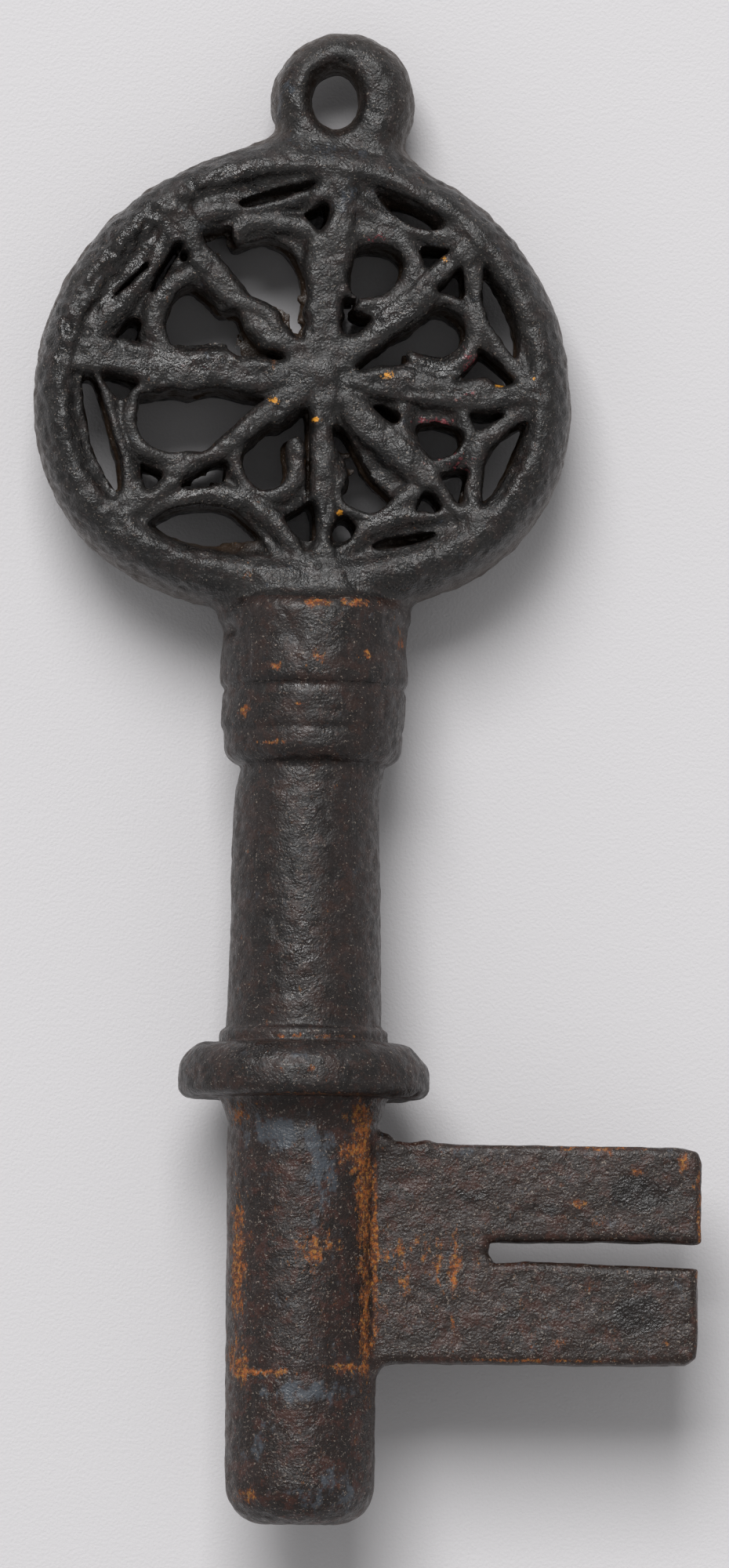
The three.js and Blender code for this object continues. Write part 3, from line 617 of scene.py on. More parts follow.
class Casting:
    """The field of the whole casting on a grid of cells: negative inside the metal."""

    def __init__(self):
        self.axes = [np.arange(low, high, STEP, np.float32) for low, high in zip(LOW, HIGH)]
        self.field = np.full([len(axis) for axis in self.axes], OUTSIDE, np.float32)

    def block(self, low, high):
        """The cells of a space, and their places along each axis."""
        spans = [
            slice(max(0, int((a - s) / STEP)), int((b - s) / STEP) + 2)
            for a, b, s in zip(low, high, LOW)
        ]
        x, y, z = (axis[span] for axis, span in zip(self.axes, spans))
        return tuple(spans), x[:, None, None], y[None, :, None], z[None, None, :]

    def join(self, low, high, shape, fillet):
        """Joins a member, given as a field of x, y and z, to the casting."""
        spans, x, y, z = self.block(low, high)
        member = np.minimum(shape(x, y, z), OUTSIDE).astype(np.float32)
        self.field[spans] = smooth_union(self.field[spans], member, fillet)


def eased(share):
    """A share from 0 to 1 that starts and ends gently."""
    return share * share * (3 - 2 * share)


def head_offset(y):
    """How far the head is cast off the shank's axis, at a height."""
    share = np.clip((y - HEAD_FOOT) / (HEAD_FULL - HEAD_FOOT), 0, 1)
    return SEAT_X * eased(share)


def turned(foot, top, lower_radius, upper_radius, lower_round, upper_round):
    """Field of a turned member with rounded edges."""
    middle, half = (foot + top) / 2, (top - foot) / 2

    def shape(x, y, z):
        radial = np.hypot(x - head_offset(y), z)
        share = np.clip((y - foot) / (top - foot), 0, 1)
        radius = lower_radius + (upper_radius - lower_radius) * share
        edge = np.where(y < middle, lower_round, upper_round)
        out = radial - radius + edge
        along = np.abs(y - middle) - half + edge
        corner = np.hypot(np.maximum(out, 0), np.maximum(along, 0))
        return corner + np.minimum(np.maximum(out, along), 0) - edge

    return shape


def bit_plate(x, y, z):
    """Field of the bit: a plate with rounded edges."""
    outside = loop_distance(x[:, :, 0], y[:, :, 0], BIT_OUTLINE)[:, :, None]
    return rounded_slab(-outside, z, BIT_HALF_DEPTH, BIT_EDGE)


def oval_reach(bearing, half_width, upper, lower):
    """Way from the bow's middle to an oval, at a bearing."""
    sine = np.sin(bearing)
    power = np.where(sine >= 0, RIM_UPPER_POWER, RIM_LOWER_POWER)
    across = np.abs(np.cos(bearing)) / half_width
    along = np.abs(sine) / np.where(sine >= 0, upper, lower)
    return (across**power + along**power) ** (-1 / power)


def rim_reaches(bearing):
    """Ways from the bow's middle to the rim's inner and outer edge."""
    inner = oval_reach(
        bearing, RIM_HALF_WIDTH - RIM_SIDE_WIDTH, RIM_UPPER - RIM_TOP_WIDTH, RIM_LOWER - RIM_FOOT_WIDTH
    )
    return inner, oval_reach(bearing, RIM_HALF_WIDTH, RIM_UPPER, RIM_LOWER)


def rim_ring(x, y, z):
    """Field of the rim: a ridge round the bow, steeper towards the openwork."""
    right, up = x - BOW_X, y - BOW_Y
    inner, outer = rim_reaches(np.arctan2(up, right))
    width = outer - inner
    off = np.hypot(right, up) - inner - RIM_CREST * width
    flank = np.where(off < 0, RIM_CREST, 1 - RIM_CREST) * width
    return ridge(np.abs(off), flank, z, RIM_HALF_DEPTH, RIM_POWER)


def openwork_point(place):
    """Point of the openwork from its bearing and its share of the way from hub to rim."""
    bearing = math.radians(place[0])
    reach = float(rim_reaches(np.array(bearing))[0])
    edge = (BOW_X + reach * math.cos(bearing), BOW_Y + reach * math.sin(bearing))
    return (HUB_X + (edge[0] - HUB_X) * place[1], HUB_Y + (edge[1] - HUB_Y) * place[1])


def route_distance(x, y, points):
    """Distance to an open line through the points."""
    nearest = np.full(np.broadcast(x, y).shape, np.inf)
    for (ax, ay), (bx, by) in zip(points, points[1:]):
        ex, ey = bx - ax, by - ay
        share = np.clip(((x - ax) * ex + (y - ay) * ey) / (ex * ex + ey * ey), 0, 1)
        nearest = np.minimum(nearest, np.hypot(x - ax - ex * share, y - ay - ey * share))
    return nearest


def opening_distance(x, y):
    """Distance to the nearest opening of the bow, negative inside one, and to the nearest groove."""
    nearest = [np.full(np.broadcast(x, y).shape, np.inf) for _ in range(2)]
    for k, outlines in enumerate((OPENINGS, GROOVES)):
        for points in outlines.values():
            loop = smooth_loop([from_photo(p) for p in points])
            nearest[k] = np.minimum(nearest[k], loop_distance(x, y, loop))
    return nearest


def flash_reach(flat_x, flat_y):
    """How far the ragged flash stands out from the strands' edges, at points of the plane."""
    rng = np.random.default_rng(FLASH_SEED)
    spots = np.stack([np.broadcast_to(a, np.broadcast(flat_x, flat_y).shape).ravel()
                      for a in (flat_x, flat_y, np.zeros_like(flat_x))], 1)
    ragged = value_noise(spots, FLASH_SWELL, rng).reshape(np.broadcast(flat_x, flat_y).shape)
    here = np.zeros(ragged.shape)
    for place, reach, strength in FLASHED.values():
        x, y = from_photo(place)
        off = np.hypot(flat_x - x, flat_y - y) / (reach * PIXEL)
        here = np.maximum(here, strength * np.clip(FLASH_FADE - FLASH_FADE * off, 0, 1))
    return FLASH_REACH * np.clip(FLASH_BASE + ragged, 0, 1) * here


def joined_reach(opening, reach):
    """The flash's reach without the crumbs that would stand loose in an opening."""
    held = opening > 0
    standing = opening > -reach
    for _ in range(int(FLASH_REACH / STEP) + 2):
        spread = held.copy()
        for axis in (0, 1):
            spread |= np.roll(held, 1, axis) | np.roll(held, -1, axis)
        held = spread & standing
    return np.where(held, reach, 0)


def inside_rods(x, y, rows):
    """Way in from the edge of the nearest rod."""
    return np.maximum.reduce([
        half_width - route_distance(x, y, [openwork_point(place) for place in route])
        for route, half_width in rows
    ])


def rods(flat_x, flat_y, z, past_rim):
    """Field of the rods of the openwork and of the web that joins them, higher near the rim."""
    spokes = inside_rods(flat_x, flat_y, [
        (route, width / 2 + SPOKE_EXTRA_WIDTH) for route, width in SPOKES.values()])
    frets = inside_rods(flat_x, flat_y, [(route, FRET_HALF_WIDTH) for route in FRETS.values()])
    standing = [
        rounded_slab(inwards[:, :, None], z, rise, FRET_HALF_WIDTH)
        for inwards, rise in ((spokes, SPOKE_RISE), (frets, FRET_RISE))
    ]
    near_rim = np.exp(-((np.minimum(past_rim, 0) / RIM_WEB_SPREAD) ** 2))
    web = WEB_RISE + (RIM_WEB_RISE - WEB_RISE) * near_rim
    return smooth_union(np.minimum(*standing), np.abs(z) - web[:, :, None], WEB_FILLET)


def openwork(x, y, z):
    """Field of the openwork: strands left standing between the openings, in two mould halves."""
    flat_x, flat_y = x[:, :, 0], y[:, :, 0]
    opening, groove = opening_distance(flat_x, flat_y)
    lower_half = np.roll(opening, -int(round(MOULD_SHIFT / STEP)), 0)
    past_rim = rim_reaches(np.arctan2(flat_y - BOW_Y, flat_x - BOW_X))[0]
    past_rim = np.hypot(flat_x - BOW_X, flat_y - BOW_Y) - past_rim - RIM_LAP
    halves = [
        rounded_slab(half[:, :, None], z, STRAND_RISE, STRAND_ROUND) for half in (lower_half, opening)]
    grooved = rounded_slab(groove[:, :, None], z, STRAND_RISE, STRAND_ROUND)
    grooved = np.minimum(grooved, np.abs(z) - GROOVE_FLOOR)
    strands = np.maximum(np.where(z < 0, halves[0], halves[1]), grooved)
    strands = np.maximum(strands, rods(flat_x, flat_y, z, past_rim))
    reach = joined_reach(opening, flash_reach(flat_x, flat_y))
    fins = np.maximum((-opening - reach)[:, :, None], np.abs(z) - FLASH_HALF_DEPTH)
    return np.maximum(np.minimum(strands, fins), past_rim[:, :, None])


def eye_ring(x, y, z):
    """Field of the eye and its root: one rounded form with the hole through it."""
    flat_x, flat_y = x[:, :, 0], y[:, :, 0]
    disc = np.hypot(flat_x - EYE_X, flat_y - EYE_Y) - EYE_RADIUS
    root = loop_distance(flat_x - EYE_X, flat_y - EYE_Y, EYE_ROOT)
    outside = smooth_union(disc, root, EYE_ROOT_FILLET)
    hole_x = (flat_x - EYE_HOLE_X) / EYE_HOLE_HALF_WIDTH
    hole_y = (flat_y - EYE_HOLE_Y) / EYE_HOLE_HALF_HEIGHT
    hole = (np.hypot(hole_x, hole_y) - 1) * EYE_HOLE_HALF_WIDTH
    ring = ridge(EYE_FLANK + outside[:, :, None], EYE_FLANK, z, EYE_HALF_DEPTH, EYE_POWER)
    bore = ridge(EYE_HOLE_FLANK - hole[:, :, None], EYE_HOLE_FLANK, z, EYE_HALF_DEPTH, EYE_POWER)
    return np.maximum(ring, bore)


def seat_block(x, y, z):
    """Field of the seat: it runs from the bolster's round into the flat of the bow."""
    share = np.clip((y - SEAT_LOW) / (SEAT_HIGH - SEAT_LOW), 0, 1)
    rise = SEAT_FOOT_RISE + (SEAT_TOP_RISE - SEAT_FOOT_RISE) * share
    radial = np.hypot(x - SEAT_X, z * SEAT_RADIUS / rise) - SEAT_RADIUS
    return np.maximum(radial * rise / SEAT_RADIUS, np.abs(y - (SEAT_LOW + SEAT_HIGH) / 2)
                      - (SEAT_HIGH - SEAT_LOW) / 2)


def hub_boss(x, y, z):
    """Field of the hub's low boss."""
    off = np.hypot(x - HUB_X, y - HUB_Y)
    return ridge(off, HUB_RADIUS, z, SPOKE_RISE + HUB_PROUD, HUB_POWER)


def cast_key():
    """The whole casting's field."""
    casting = Casting()
    for member in TURNED.values():
        span = max(member.foot_radius, member.top_radius) + TURNED_MARGIN
        low, high = member.foot - TURNED_MARGIN, member.top + TURNED_MARGIN
        casting.join((-span, low, -span), (span, high, span), turned(*member), TURNED_FILLET)
    casting.join(*BIT_SPACE, bit_plate, BIT_FILLET)
    casting.join(*SEAT_SPACE, seat_block, SEAT_FILLET)
    casting.join(*RIM_SPACE, rim_ring, SEAT_FILLET)
    casting.join(*OPENWORK_SPACE, openwork, OPENWORK_FILLET)
    casting.join(*EYE_SPACE, eye_ring, EYE_FILLET)
    casting.join(*HUB_SPACE, hub_boss, OPENWORK_FILLET)
    return casting.field


def surface_of(field):
    """Corners and four-sided faces of the surface where a field is zero."""
    grid = openvdb.FloatGrid(OUTSIDE)
    grid.copyFromArray(np.ascontiguousarray(field))
    points, quads = grid.convertToQuads(0.0)
    return points.astype(float) * STEP + np.array(LOW), quads.astype(np.int64)


def corner_normals(points, quads):
    """Outward direction at each corner."""
    a, b, c, d = (points[quads[:, k]] for k in range(4))
    face = np.cross(c - a, d - b)
    normals = np.zeros_like(points)
    for k in range(4):
        for axis in range(3):
            normals[:, axis] += np.bincount(quads[:, k], face[:, axis], len(points))
    return normals / np.maximum(np.linalg.norm(normals, axis=1, keepdims=True), TINY)


def value_noise(points, size, rng):
    """Smooth noise between -1 and 1 with swells of a size, the same on each run."""
    lattice = rng.uniform(-1, 1, (NOISE_CELLS, NOISE_CELLS, NOISE_CELLS))
    spot = points / size + NOISE_START
    base = np.floor(spot).astype(int)
    part = spot - base
    part = eased(part)
    total = np.zeros(len(points))
    for corner in np.ndindex(2, 2, 2):
        weight = np.ones(len(points))
        for axis in range(3):
            weight *= part[:, axis] if corner[axis] else 1 - part[:, axis]
        index = [(base[:, axis] + corner[axis]) % NOISE_CELLS for axis in range(3)]
        total += weight * lattice[index[0], index[1], index[2]]
    return total


def rim_wrinkles(points, rng):
    """Wrinkles across the rim's crest, strongest on its upper left."""
    right, up = points[:, 0] - BOW_X, points[:, 1] - BOW_Y
    bearing = np.arctan2(up, right)
    inner, outer = rim_reaches(bearing)
    off_crest = np.hypot(right, up) - inner - RIM_CREST * (outer - inner)
    off_bearing = np.angle(np.exp(1j * (bearing - WRINKLE_BEARING)))
    share = np.exp(-((off_crest / WRINKLE_BAND) ** 2) - (off_bearing / WRINKLE_SPREAD) ** 2)
    return WRINKLE_RISE * share * value_noise(points, WRINKLE_SWELL, rng)


def roughened(points, quads):
    """Corners moved in and out as sand-cast iron is uneven, with its lumps, pits and wrinkles."""
    rng = np.random.default_rng(SKIN_SEED)
    normals = corner_normals(points, quads)
    lift = sum(height * value_noise(points, size, rng) for size, height in SKIN)
    pitted = np.clip(value_noise(points, PIT_SWELL, rng) - PIT_FROM, 0, 1) / (1 - PIT_FROM)
    share = np.interp(points[:, 1], SKIN_HEIGHTS, [PIN_SKIN_SHARE, SHANK_SKIN_SHARE, SHANK_SKIN_SHARE, 1])
    lift = (lift - PIT_DEPTH * pitted) * share + rim_wrinkles(points, rng)
    for place, reach, height in LUMPS.values():
        x, y = from_photo(place)
        off = np.hypot(points[:, 0] - x, points[:, 1] - y) / reach
        lift = lift + height * np.exp(-(off**2))
    return points + normals * lift[:, None]


def mesh_object(name, points, faces):
    """New object with a mesh of corners and faces."""
    mesh = bpy.data.meshes.new(name)
    mesh.from_pydata(points.tolist(), [], faces.tolist())
    thing = bpy.data.objects.new(name, mesh)
    bpy.context.scene.collection.objects.link(thing)
    return thing


def prism(name, outline):
    """Closed upright prism over an outline in the key's plane."""
    mesh = bpy.data.meshes.new(name)
    form = bmesh.new()
    base = form.faces.new([form.verts.new((x, y, -CUT_HALF_DEPTH)) for x, y in outline])
    pulled = bmesh.ops.extrude_face_region(form, geom=[base])
    risen = [item for item in pulled["geom"] if isinstance(item, bmesh.types.BMVert)]
    bmesh.ops.translate(form, verts=risen, vec=(0, 0, 2 * CUT_HALF_DEPTH))
    bmesh.ops.triangulate(form, faces=form.faces)
    bmesh.ops.recalc_face_normals(form, faces=form.faces)
    form.to_mesh(mesh)
    form.free()
    cutter = bpy.data.objects.new(name, mesh)
    bpy.context.scene.collection.objects.link(cutter)
    return cutter


def cut(name, whole, cutter, operation):
    """New object: what an operation with a cutter leaves of another object."""
    piece = bpy.data.objects.new(name, whole.data.copy())
    bpy.context.scene.collection.objects.link(piece)
    change = piece.modifiers.new("cut", "BOOLEAN")
    change.operation = operation
    change.object = cutter
    change.solver = "MANIFOLD"
    depsgraph = bpy.context.evaluated_depsgraph_get()
    result = bpy.data.meshes.new_from_object(piece.evaluated_get(depsgraph))
    piece.modifiers.clear()
    old = piece.data
    piece.data = result
    bpy.data.meshes.remove(old)
    return piece


def drop(*things):
    """Deletes objects with their meshes."""
    for thing in things:
        mesh = thing.data
        bpy.data.objects.remove(thing)
        bpy.data.meshes.remove(mesh)


def box_outline(left, right, foot, top):
    """Corners of a box in the key's plane."""
    return [(left, foot), (right, foot), (right, top), (left, top)]


def split(whole, name, outline, rest_name="rest"):
    """The part of a solid inside a prism, and the rest of it; the solid itself is used up."""
    cutter = prism("cutter", outline)
    inside = cut(name, whole, cutter, "INTERSECT")
    outside = cut(rest_name, whole, cutter, "DIFFERENCE")
    drop(whole, cutter)
    return inside, outside


def oval_outline(inner, start=0.0, end=360.0, steps=OVAL_STEPS):
    """Points along the rim's inner or outer oval, between two bearings in degrees."""
    bearings = np.radians(np.linspace(start, end, steps, endpoint=end - start < 360.0))
    reach = rim_reaches(bearings)[0 if inner else 1]
    return list(zip(BOW_X + reach * np.cos(bearings), BOW_Y + reach * np.sin(bearings)))


def spoke_outline(route, width):
    """Outline of the band that a spoke takes of the openwork."""
    points = np.array([openwork_point(place) for place in route])
    points[0] = (HUB_X, HUB_Y)
    along = np.gradient(points, axis=0)
    along /= np.linalg.norm(along, axis=1, keepdims=True)
    side = np.stack([-along[:, 1], along[:, 0]], 1) * width / 2
    return [tuple(p) for p in points + side] + [tuple(p) for p in (points - side)[::-1]]


def neighbours():
    """Each spoke with the next one round the bow."""
    names = list(SPOKES)
    return list(zip(names, names[1:] + names[:1]))


def fret_outline(spoke, nearby):
    """Outline of the field between two spokes' middle lines, from the hub to past the rim."""
    first, second = ([openwork_point(place) for place in SPOKES[name][0]] for name in (spoke, nearby))
    wide = [(HUB_X + (x - HUB_X) * PAST_RIM, HUB_Y + (y - HUB_Y) * PAST_RIM)
            for x, y in (first[-1], second[-1])]
    return [(HUB_X, HUB_Y)] + first[1:-1] + wide + second[1:-1][::-1]


def column_members(whole):
    """The bit, the column from the pin up and the bow's seat, by name, and the rest of the casting."""
    pieces = {}
    pieces["bit"], whole = split(whole, "bit", box_outline(*BIT_BOX))
    foot = COLUMN_FOOT
    for name, top in COLUMN_TOPS.items():
        column = box_outline(-COLUMN_HALF_WIDTH, COLUMN_HALF_WIDTH, foot, top)
        pieces[name], whole = split(whole, name, column)
        foot = top - CUT_LAP
    for name, box in HEAD_BOXES.items():
        pieces[name], whole = split(whole, name, box_outline(*box))
    return pieces, whole


def openwork_members(inside):
    """The hub's boss, the spokes and the fields of fretwork between them, by name."""
    pieces = {}
    turns = np.linspace(0, 2 * math.pi, HUB_SIDES, endpoint=False)
    hub_ring = [(HUB_X + HUB_RADIUS * math.cos(a), HUB_Y + HUB_RADIUS * math.sin(a)) for a in turns]
    pieces["hub_boss"], inside = split(inside, "hub_boss", hub_ring)
    for spoke, (route, width) in SPOKES.items():
        pieces["spoke_" + spoke], inside = split(inside, "spoke_" + spoke, spoke_outline(route, width))
    for spoke, nearby in neighbours():
        fret = f"fret_{spoke}_to_{nearby}"
        pieces[fret], inside = split(inside, fret, fret_outline(spoke, nearby))
    drop(inside)
    return pieces


def members_of(whole):
    """The casting cut into its members, by name."""
    pieces, whole = column_members(whole)
    inside, whole = split(whole, "openwork", oval_outline(inner=True))
    eye_side = oval_outline(False, *EYE_CUT, EYE_CUT_STEPS) + EYE_CUT_CORNERS
    pieces["suspension_eye"], pieces["bow_rim"] = split(whole, "suspension_eye", eye_side, "bow_rim")
    return pieces | openwork_members(inside)


def laid_down(piece):
    """Puts a member where the frame's key lies, in metres."""
    turn = Matrix.Rotation(-KEY_PITCH, 4, "X")
    place = Matrix.Translation(KEY_PLACE)
    piece.data.transform(Matrix.Scale(MM, 4) @ place @ turn)
    piece.data.shade_smooth()
    piece.data.set_sharp_from_angle(angle=SHARP_ANGLE)


# Nodes of the part that one piece stands for, where they aren't one node of the same name
SCROLLS = [name for name in FRETS if name.startswith("scroll")]
REPLACED = {
    f"fret_{spoke}_to_{nearby}": [f"chord_{spoke}_to_{nearby}", scroll]
    for (spoke, nearby), scroll in zip(neighbours(), SCROLLS)
}
PIN_MEMBERS = ("pin", "bit", "collar_fillet")
SHANK_MEMBERS = ("collar", "seat_ring", "shank", "lower_bead", "middle_bead", "bolster")


def linear(code):
    """Linear colour from an sRGB hex value."""
    parts = [int(code[k : k + 2], 16) / 255 for k in (1, 3, 5)]
    return [p / 12.92 if p <= 0.04045 else ((p + 0.055) / 1.055) ** 2.4 for p in parts] + [1.0]


def add_node(tree, kind, settings=None, links=None):
    """Adds a node with its settings, and its inputs set to values or joined to other nodes."""
    node = tree.nodes.new(kind)
    for key, value in (settings or {}).items():
        setattr(node, key, value)
    for key, value in (links or {}).items():
        if isinstance(value, bpy.types.NodeSocket):
            tree.links.new(value, node.inputs[key])
        else:
            node.inputs[key].default_value = value
    return node


def key_spot(tree):
    """Place on the key in millimetres: across, along and up, from the pin's tip on the axis."""
    turn = Matrix.Rotation(KEY_PITCH, 3, "X")
    return add_node(tree, "ShaderNodeMapping", {}, {
        "Vector": add_node(tree, "ShaderNodeTexCoord").outputs["Object"],
        "Location": -(turn @ KEY_PLACE),
        "Rotation": (KEY_PITCH, 0, 0),
        "Scale": (1 / MM, 1 / MM, 1 / MM),
    }).outputs["Vector"]


def swells(tree, spot, swell):
    """Noise with swells of a size in millimetres, drawn out along the key."""
    across, along = 1 / swell.size, 1 / swell.size / swell.stretch
    scaled = add_node(tree, "ShaderNodeMapping", {}, {"Vector": spot, "Scale": (across, along, across)})
    return add_node(tree, "ShaderNodeTexNoise", {}, {
        "Vector": scaled.outputs["Vector"], "Scale": 1.0, "Detail": swell.octaves,
        "Roughness": swell.roughness}).outputs["Fac"]


def near_mark(tree, spot, mark):
    """A weight that is full at a mark on the key and nothing beyond its reach."""
    u, v, up, *reach, strength = mark
    scale = [1 / way for way in reach]
    middle = [-place * size for place, size in zip((*from_photo((u, v)), up), scale)]
    shifted = add_node(tree, "ShaderNodeMapping", {}, {"Vector": spot, "Location": middle, "Scale": scale})
    away = add_node(tree, "ShaderNodeVectorMath", {"operation": "LENGTH"}, {0: shifted.outputs["Vector"]})
    return add_node(tree, "ShaderNodeMapRange", EASED, {
        "Value": away.outputs["Value"], "To Min": strength, "To Max": 0.0}).outputs["Result"]


def grown(tree, spot, swell, marks=()):
    """Share of a layer that grows in where its noise, with the weights of its marks, passes its start."""
    level = swells(tree, spot, swell)
    for mark in marks:
        weight = near_mark(tree, spot, mark)
        level = add_node(tree, "ShaderNodeMath", {"operation": "ADD"}, {0: level, 1: weight}).outputs[0]
    return add_node(tree, "ShaderNodeMapRange", EASED, {
        "Value": level, "From Min": swell.start, "From Max": swell.start + swell.edge,
        "To Max": swell.most}).outputs["Result"]


def layered(tree, ground, layers):
    """Colour of layers laid over a ground one after another, each by its share."""
    colour = linear(ground)
    for share, over in layers:
        over = linear(over) if isinstance(over, str) else over
        mixed = add_node(tree, "ShaderNodeMix", {"data_type": "RGBA"}, {0: share, 6: colour, 7: over})
        colour = mixed.outputs[2]
    return colour


def dust_share(tree, spot, most):
    """Share of the dust: full in the depths of the openwork and nothing on its crests."""
    up = add_node(tree, "ShaderNodeSeparateXYZ", {}, {0: spot}).outputs["Z"]
    height = add_node(tree, "ShaderNodeMath", {"operation": "ABSOLUTE"}, {0: up}).outputs[0]
    return add_node(tree, "ShaderNodeMapRange", EASED, {
        "Value": height, "From Min": DUST_FULL, "From Max": DUST_END, "To Min": most, "To Max": 0.0,
    }).outputs["Result"]


def marked_shares(tree, spot, iron, marks):
    """Shares of the layers that break out at marked places, by kind."""
    swell_of = {
        "scale": SCALE._replace(start=iron.scale_from), "rust": RUST._replace(start=iron.rust_from),
        "fleck": FLECK, "crumb": CRUMB, "gloss": GLOSS, "stain": STAIN,
    }
    return {kind: grown(tree, spot, swell_of[kind], places.values()) for kind, places in marks.items()}


def iron_colour(tree, spot, iron, shares):
    """Colour of the casting: its mottled skin with specks of wear that also paint glints, then dust, scale,
    rust, painted glint specks and what else its marks hold.
    """
    crust = layered(tree, iron.rust, [
        (grown(tree, spot, EMBER), iron.ember), (grown(tree, spot, OCHRE), OCHRE_YELLOW)])
    layers = [
        (grown(tree, spot, PALE), iron.pale),
        (grown(tree, spot, TINT), iron.tint),
        (grown(tree, spot, HOLLOW), HOLLOW_BLACK),
        # Light specks of wear that also paint glints
        (grown(tree, spot, WORN_AND_GLINT_SPECKS), iron.worn),
        (dust_share(tree, spot, iron.dusty), iron.dust),
        (shares["scale"], iron.scale),
        (shares["rust"], crust),
        (shares.get("fleck"), FLECK_RED),
        # Painted glints: light grey specks where the lamp would sparkle on the grain
        (grown(tree, spot, PAINTED_GLINT_SPECKS._replace(start=iron.facet_from)), PAINTED_GLINT_GREY),
        (shares.get("crumb"), CRUMB_ORANGE),
    ]
    if "stain" in shares:
        stained = add_node(tree, "ShaderNodeMapRange", EASED, {
            "Value": shares["stain"], "To Max": STAIN_MOST})
        layers.append((stained.outputs["Result"], STAIN_BLACK))
    return layered(tree, iron.dark, [layer for layer in layers if layer[0] is not None])


def iron_roughness(tree, spot, iron, shares):
    """Roughness of the casting: uneven, more in rust, less where it is worn glossy or greasy."""
    rough = add_node(tree, "ShaderNodeMapRange", EASED, {
        "Value": swells(tree, spot, SHEEN), "From Min": SHEEN.start, "From Max": SHEEN.start + SHEEN.edge,
        "To Min": iron.rough - SHEEN_LESS, "To Max": iron.rough + SHEEN_MORE}).outputs["Result"]
    for kind, change in ROUGHNESS_CHANGE.items():
        if kind in shares:
            moved = add_node(tree, "ShaderNodeMapRange", EASED, {"Value": shares[kind], "To Max": change})
            rough = add_node(tree, "ShaderNodeMath", {"operation": "ADD"}, {
                0: rough, 1: moved.outputs["Result"]}).outputs[0]
    return rough


def cast_iron(iron, marks):
    """Old sand-cast iron: a mottled dark skin, pitted by sand grains, with light specks of wear and painted
    glints, dust in its depths, grey scale that also paints a bluish highlight along the top of the shank
    and a bluish sheen on the eye's left crest, brown rust with orange hearts, dark greasy stains and crumbs
    of fresh rust."""
    finish = bpy.data.materials.new(iron.name)
    finish.use_nodes = True
    tree = finish.node_tree
    shader = tree.nodes["Principled BSDF"]
    spot = key_spot(tree)
    shares = marked_shares(tree, spot, iron, marks)
    tree.links.new(iron_colour(tree, spot, iron, shares), shader.inputs["Base Color"])
    tree.links.new(iron_roughness(tree, spot, iron, shares), shader.inputs["Roughness"])
    dented = add_node(tree, "ShaderNodeBump", {}, {
        "Height": swells(tree, spot, DENTS), "Strength": 1.0, "Distance": DENT_DEPTH * iron.relief * MM})
    sanded = add_node(tree, "ShaderNodeBump", {}, {
        "Height": swells(tree, spot, SAND), "Strength": 1.0, "Distance": SAND_DEPTH * iron.relief * MM,
        "Normal": dented.outputs["Normal"]})
    tree.links.new(sanded.outputs["Normal"], shader.inputs["Normal"])
    shader.inputs["Specular IOR Level"].default_value = GLINT
    return finish


def dressed(pieces):
    """Gives each member its iron, its body, its slot and the nodes that it stands for."""
    looks = {slot: cast_iron(iron, MARKS[slot]) for slot, iron in IRONS.items()}
    for name, piece in pieces.items():
        laid_down(piece)
        slot = "pin_iron" if name in PIN_MEMBERS else "shank_iron" if name in SHANK_MEMBERS else "bow_iron"
        piece.data.materials.clear()
        piece.data.materials.append(looks[slot])
        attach(piece, "root")
        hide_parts(*REPLACED.get(name, [name]))


TABLE_HALF = 3.0
PAPER_WHITE = "#dedcde"
PAPER_ROUGHNESS = 0.9
FIBRE_STRENGTH = 0.6
FIBRE_DEPTH = 0.12


def pale_table():
    """The pale surface that the key lies on: matt paper with a faint fibre."""
    mesh = bpy.data.meshes.new("pale_table")
    corners = box_outline(-TABLE_HALF, TABLE_HALF, -TABLE_HALF, TABLE_HALF)
    mesh.from_pydata([(x, y, 0) for x, y in corners], [], [(0, 1, 2, 3)])
    table = bpy.data.objects.new("pale_table", mesh)
    bpy.context.scene.collection.objects.link(table)
    finish = bpy.data.materials.new("matt_white_paper")
    finish.use_nodes = True
    tree = finish.node_tree
    shader = tree.nodes["Principled BSDF"]
    shader.inputs["Base Color"].default_value = linear(PAPER_WHITE)
    shader.inputs["Roughness"].default_value = PAPER_ROUGHNESS
    fibre = swells(tree, key_spot(tree), PAPER_FIBRE)
    relief = add_node(tree, "ShaderNodeBump", {}, {
        "Height": fibre, "Strength": FIBRE_STRENGTH, "Distance": FIBRE_DEPTH * MM})
    tree.links.new(relief.outputs["Normal"], shader.inputs["Normal"])
    mesh.materials.append(finish)


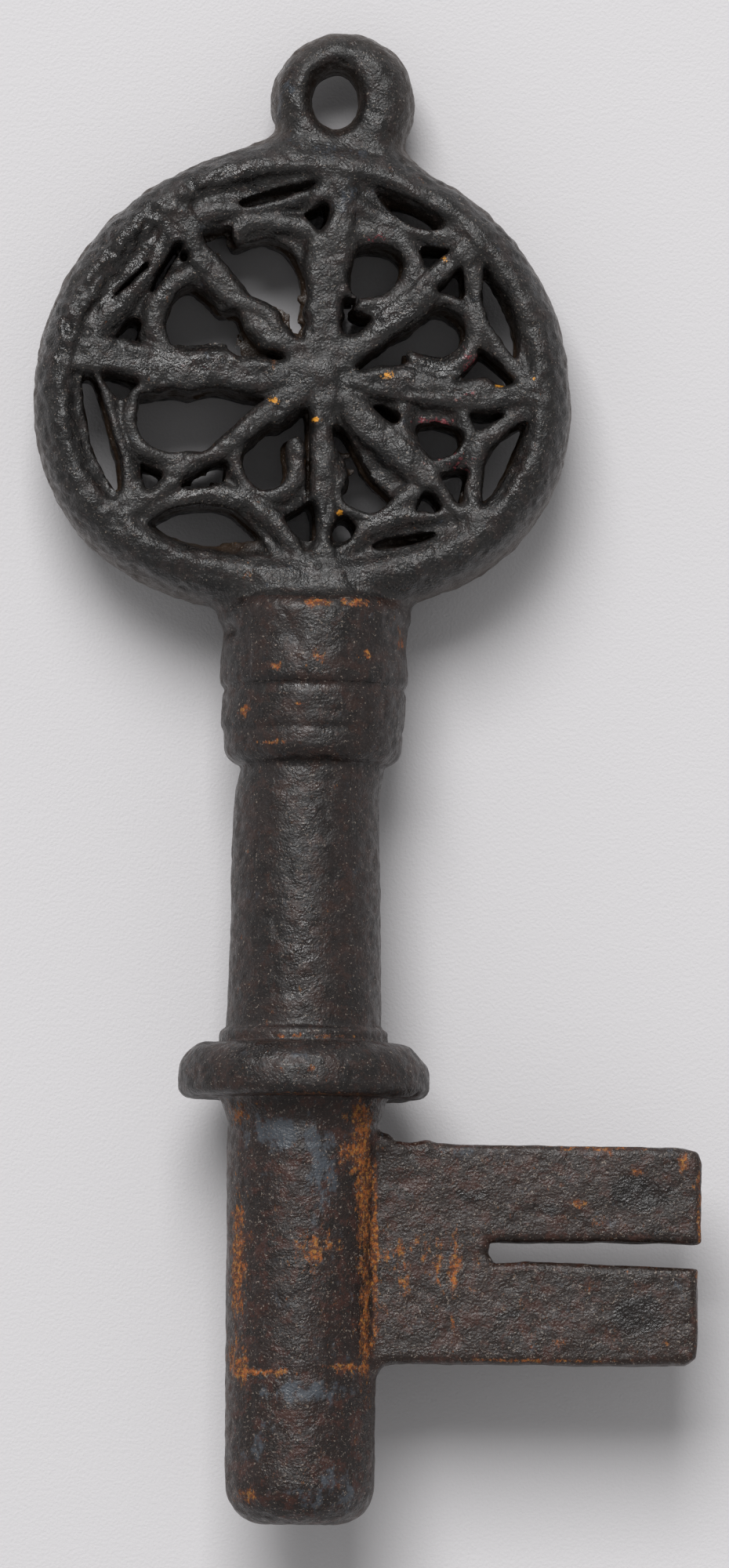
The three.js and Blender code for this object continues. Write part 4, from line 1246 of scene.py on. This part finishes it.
LAMP_AWAY = 5.0
LAMP_BEARING = math.radians(-12)
LAMP_HEIGHT = math.radians(53)
LAMP_SIZE = 2.6
LAMP_POWER = 214.0
SKY_STRENGTH = 0.34


def studio_light():
    """A wide soft lamp beyond the eye of the key, a little to the left, and an even pale sky."""
    lamp = bpy.data.lights.new("soft_lamp", "AREA")
    lamp.shape = "SQUARE"
    lamp.size = LAMP_SIZE
    lamp.energy = LAMP_POWER
    holder = bpy.data.objects.new("soft_lamp", lamp)
    level = LAMP_AWAY * math.cos(LAMP_HEIGHT)
    holder.location = (level * math.sin(LAMP_BEARING), level * math.cos(LAMP_BEARING),
                       LAMP_AWAY * math.sin(LAMP_HEIGHT))
    holder.rotation_euler = (-holder.location).to_track_quat("-Z", "Y").to_euler()
    bpy.context.scene.collection.objects.link(holder)
    world = bpy.data.worlds.new("studio")
    world.use_nodes = True
    world.node_tree.nodes["Background"].inputs["Color"].default_value = (1, 1, 1, 1)
    world.node_tree.nodes["Background"].inputs["Strength"].default_value = SKY_STRENGTH
    bpy.context.scene.world = world


CAMERA_HEIGHT = 1.5
CAMERA_FOCUS = 1.4901
CAMERA_X = -0.0003
CAMERA_Y = -0.0009
CAMERA_ROLL = math.radians(0.51)
SENSOR = 36.0
CLIP = (0.1, 10.0)


def camera_above():
    """Camera straight above the key, as the photograph was taken, a long way off."""
    camera = bpy.data.cameras.new("camera")
    camera.sensor_width = SENSOR
    camera.lens = SENSOR * CAMERA_FOCUS / (PHOTO_HEIGHT * PIXEL * MM)
    camera.clip_start, camera.clip_end = CLIP
    holder = bpy.data.objects.new("camera", camera)
    holder.location = (CAMERA_X, CAMERA_Y, CAMERA_HEIGHT)
    holder.rotation_euler = (0, 0, CAMERA_ROLL)
    bpy.context.scene.collection.objects.link(holder)
    bpy.context.scene.camera = holder


points, quads = surface_of(cast_key())
casting = mesh_object("casting", roughened(points, quads), quads)
dressed(members_of(casting))
pale_table()
studio_light()
camera_above()
bpy.context.scene.view_settings.view_transform = "Standard"
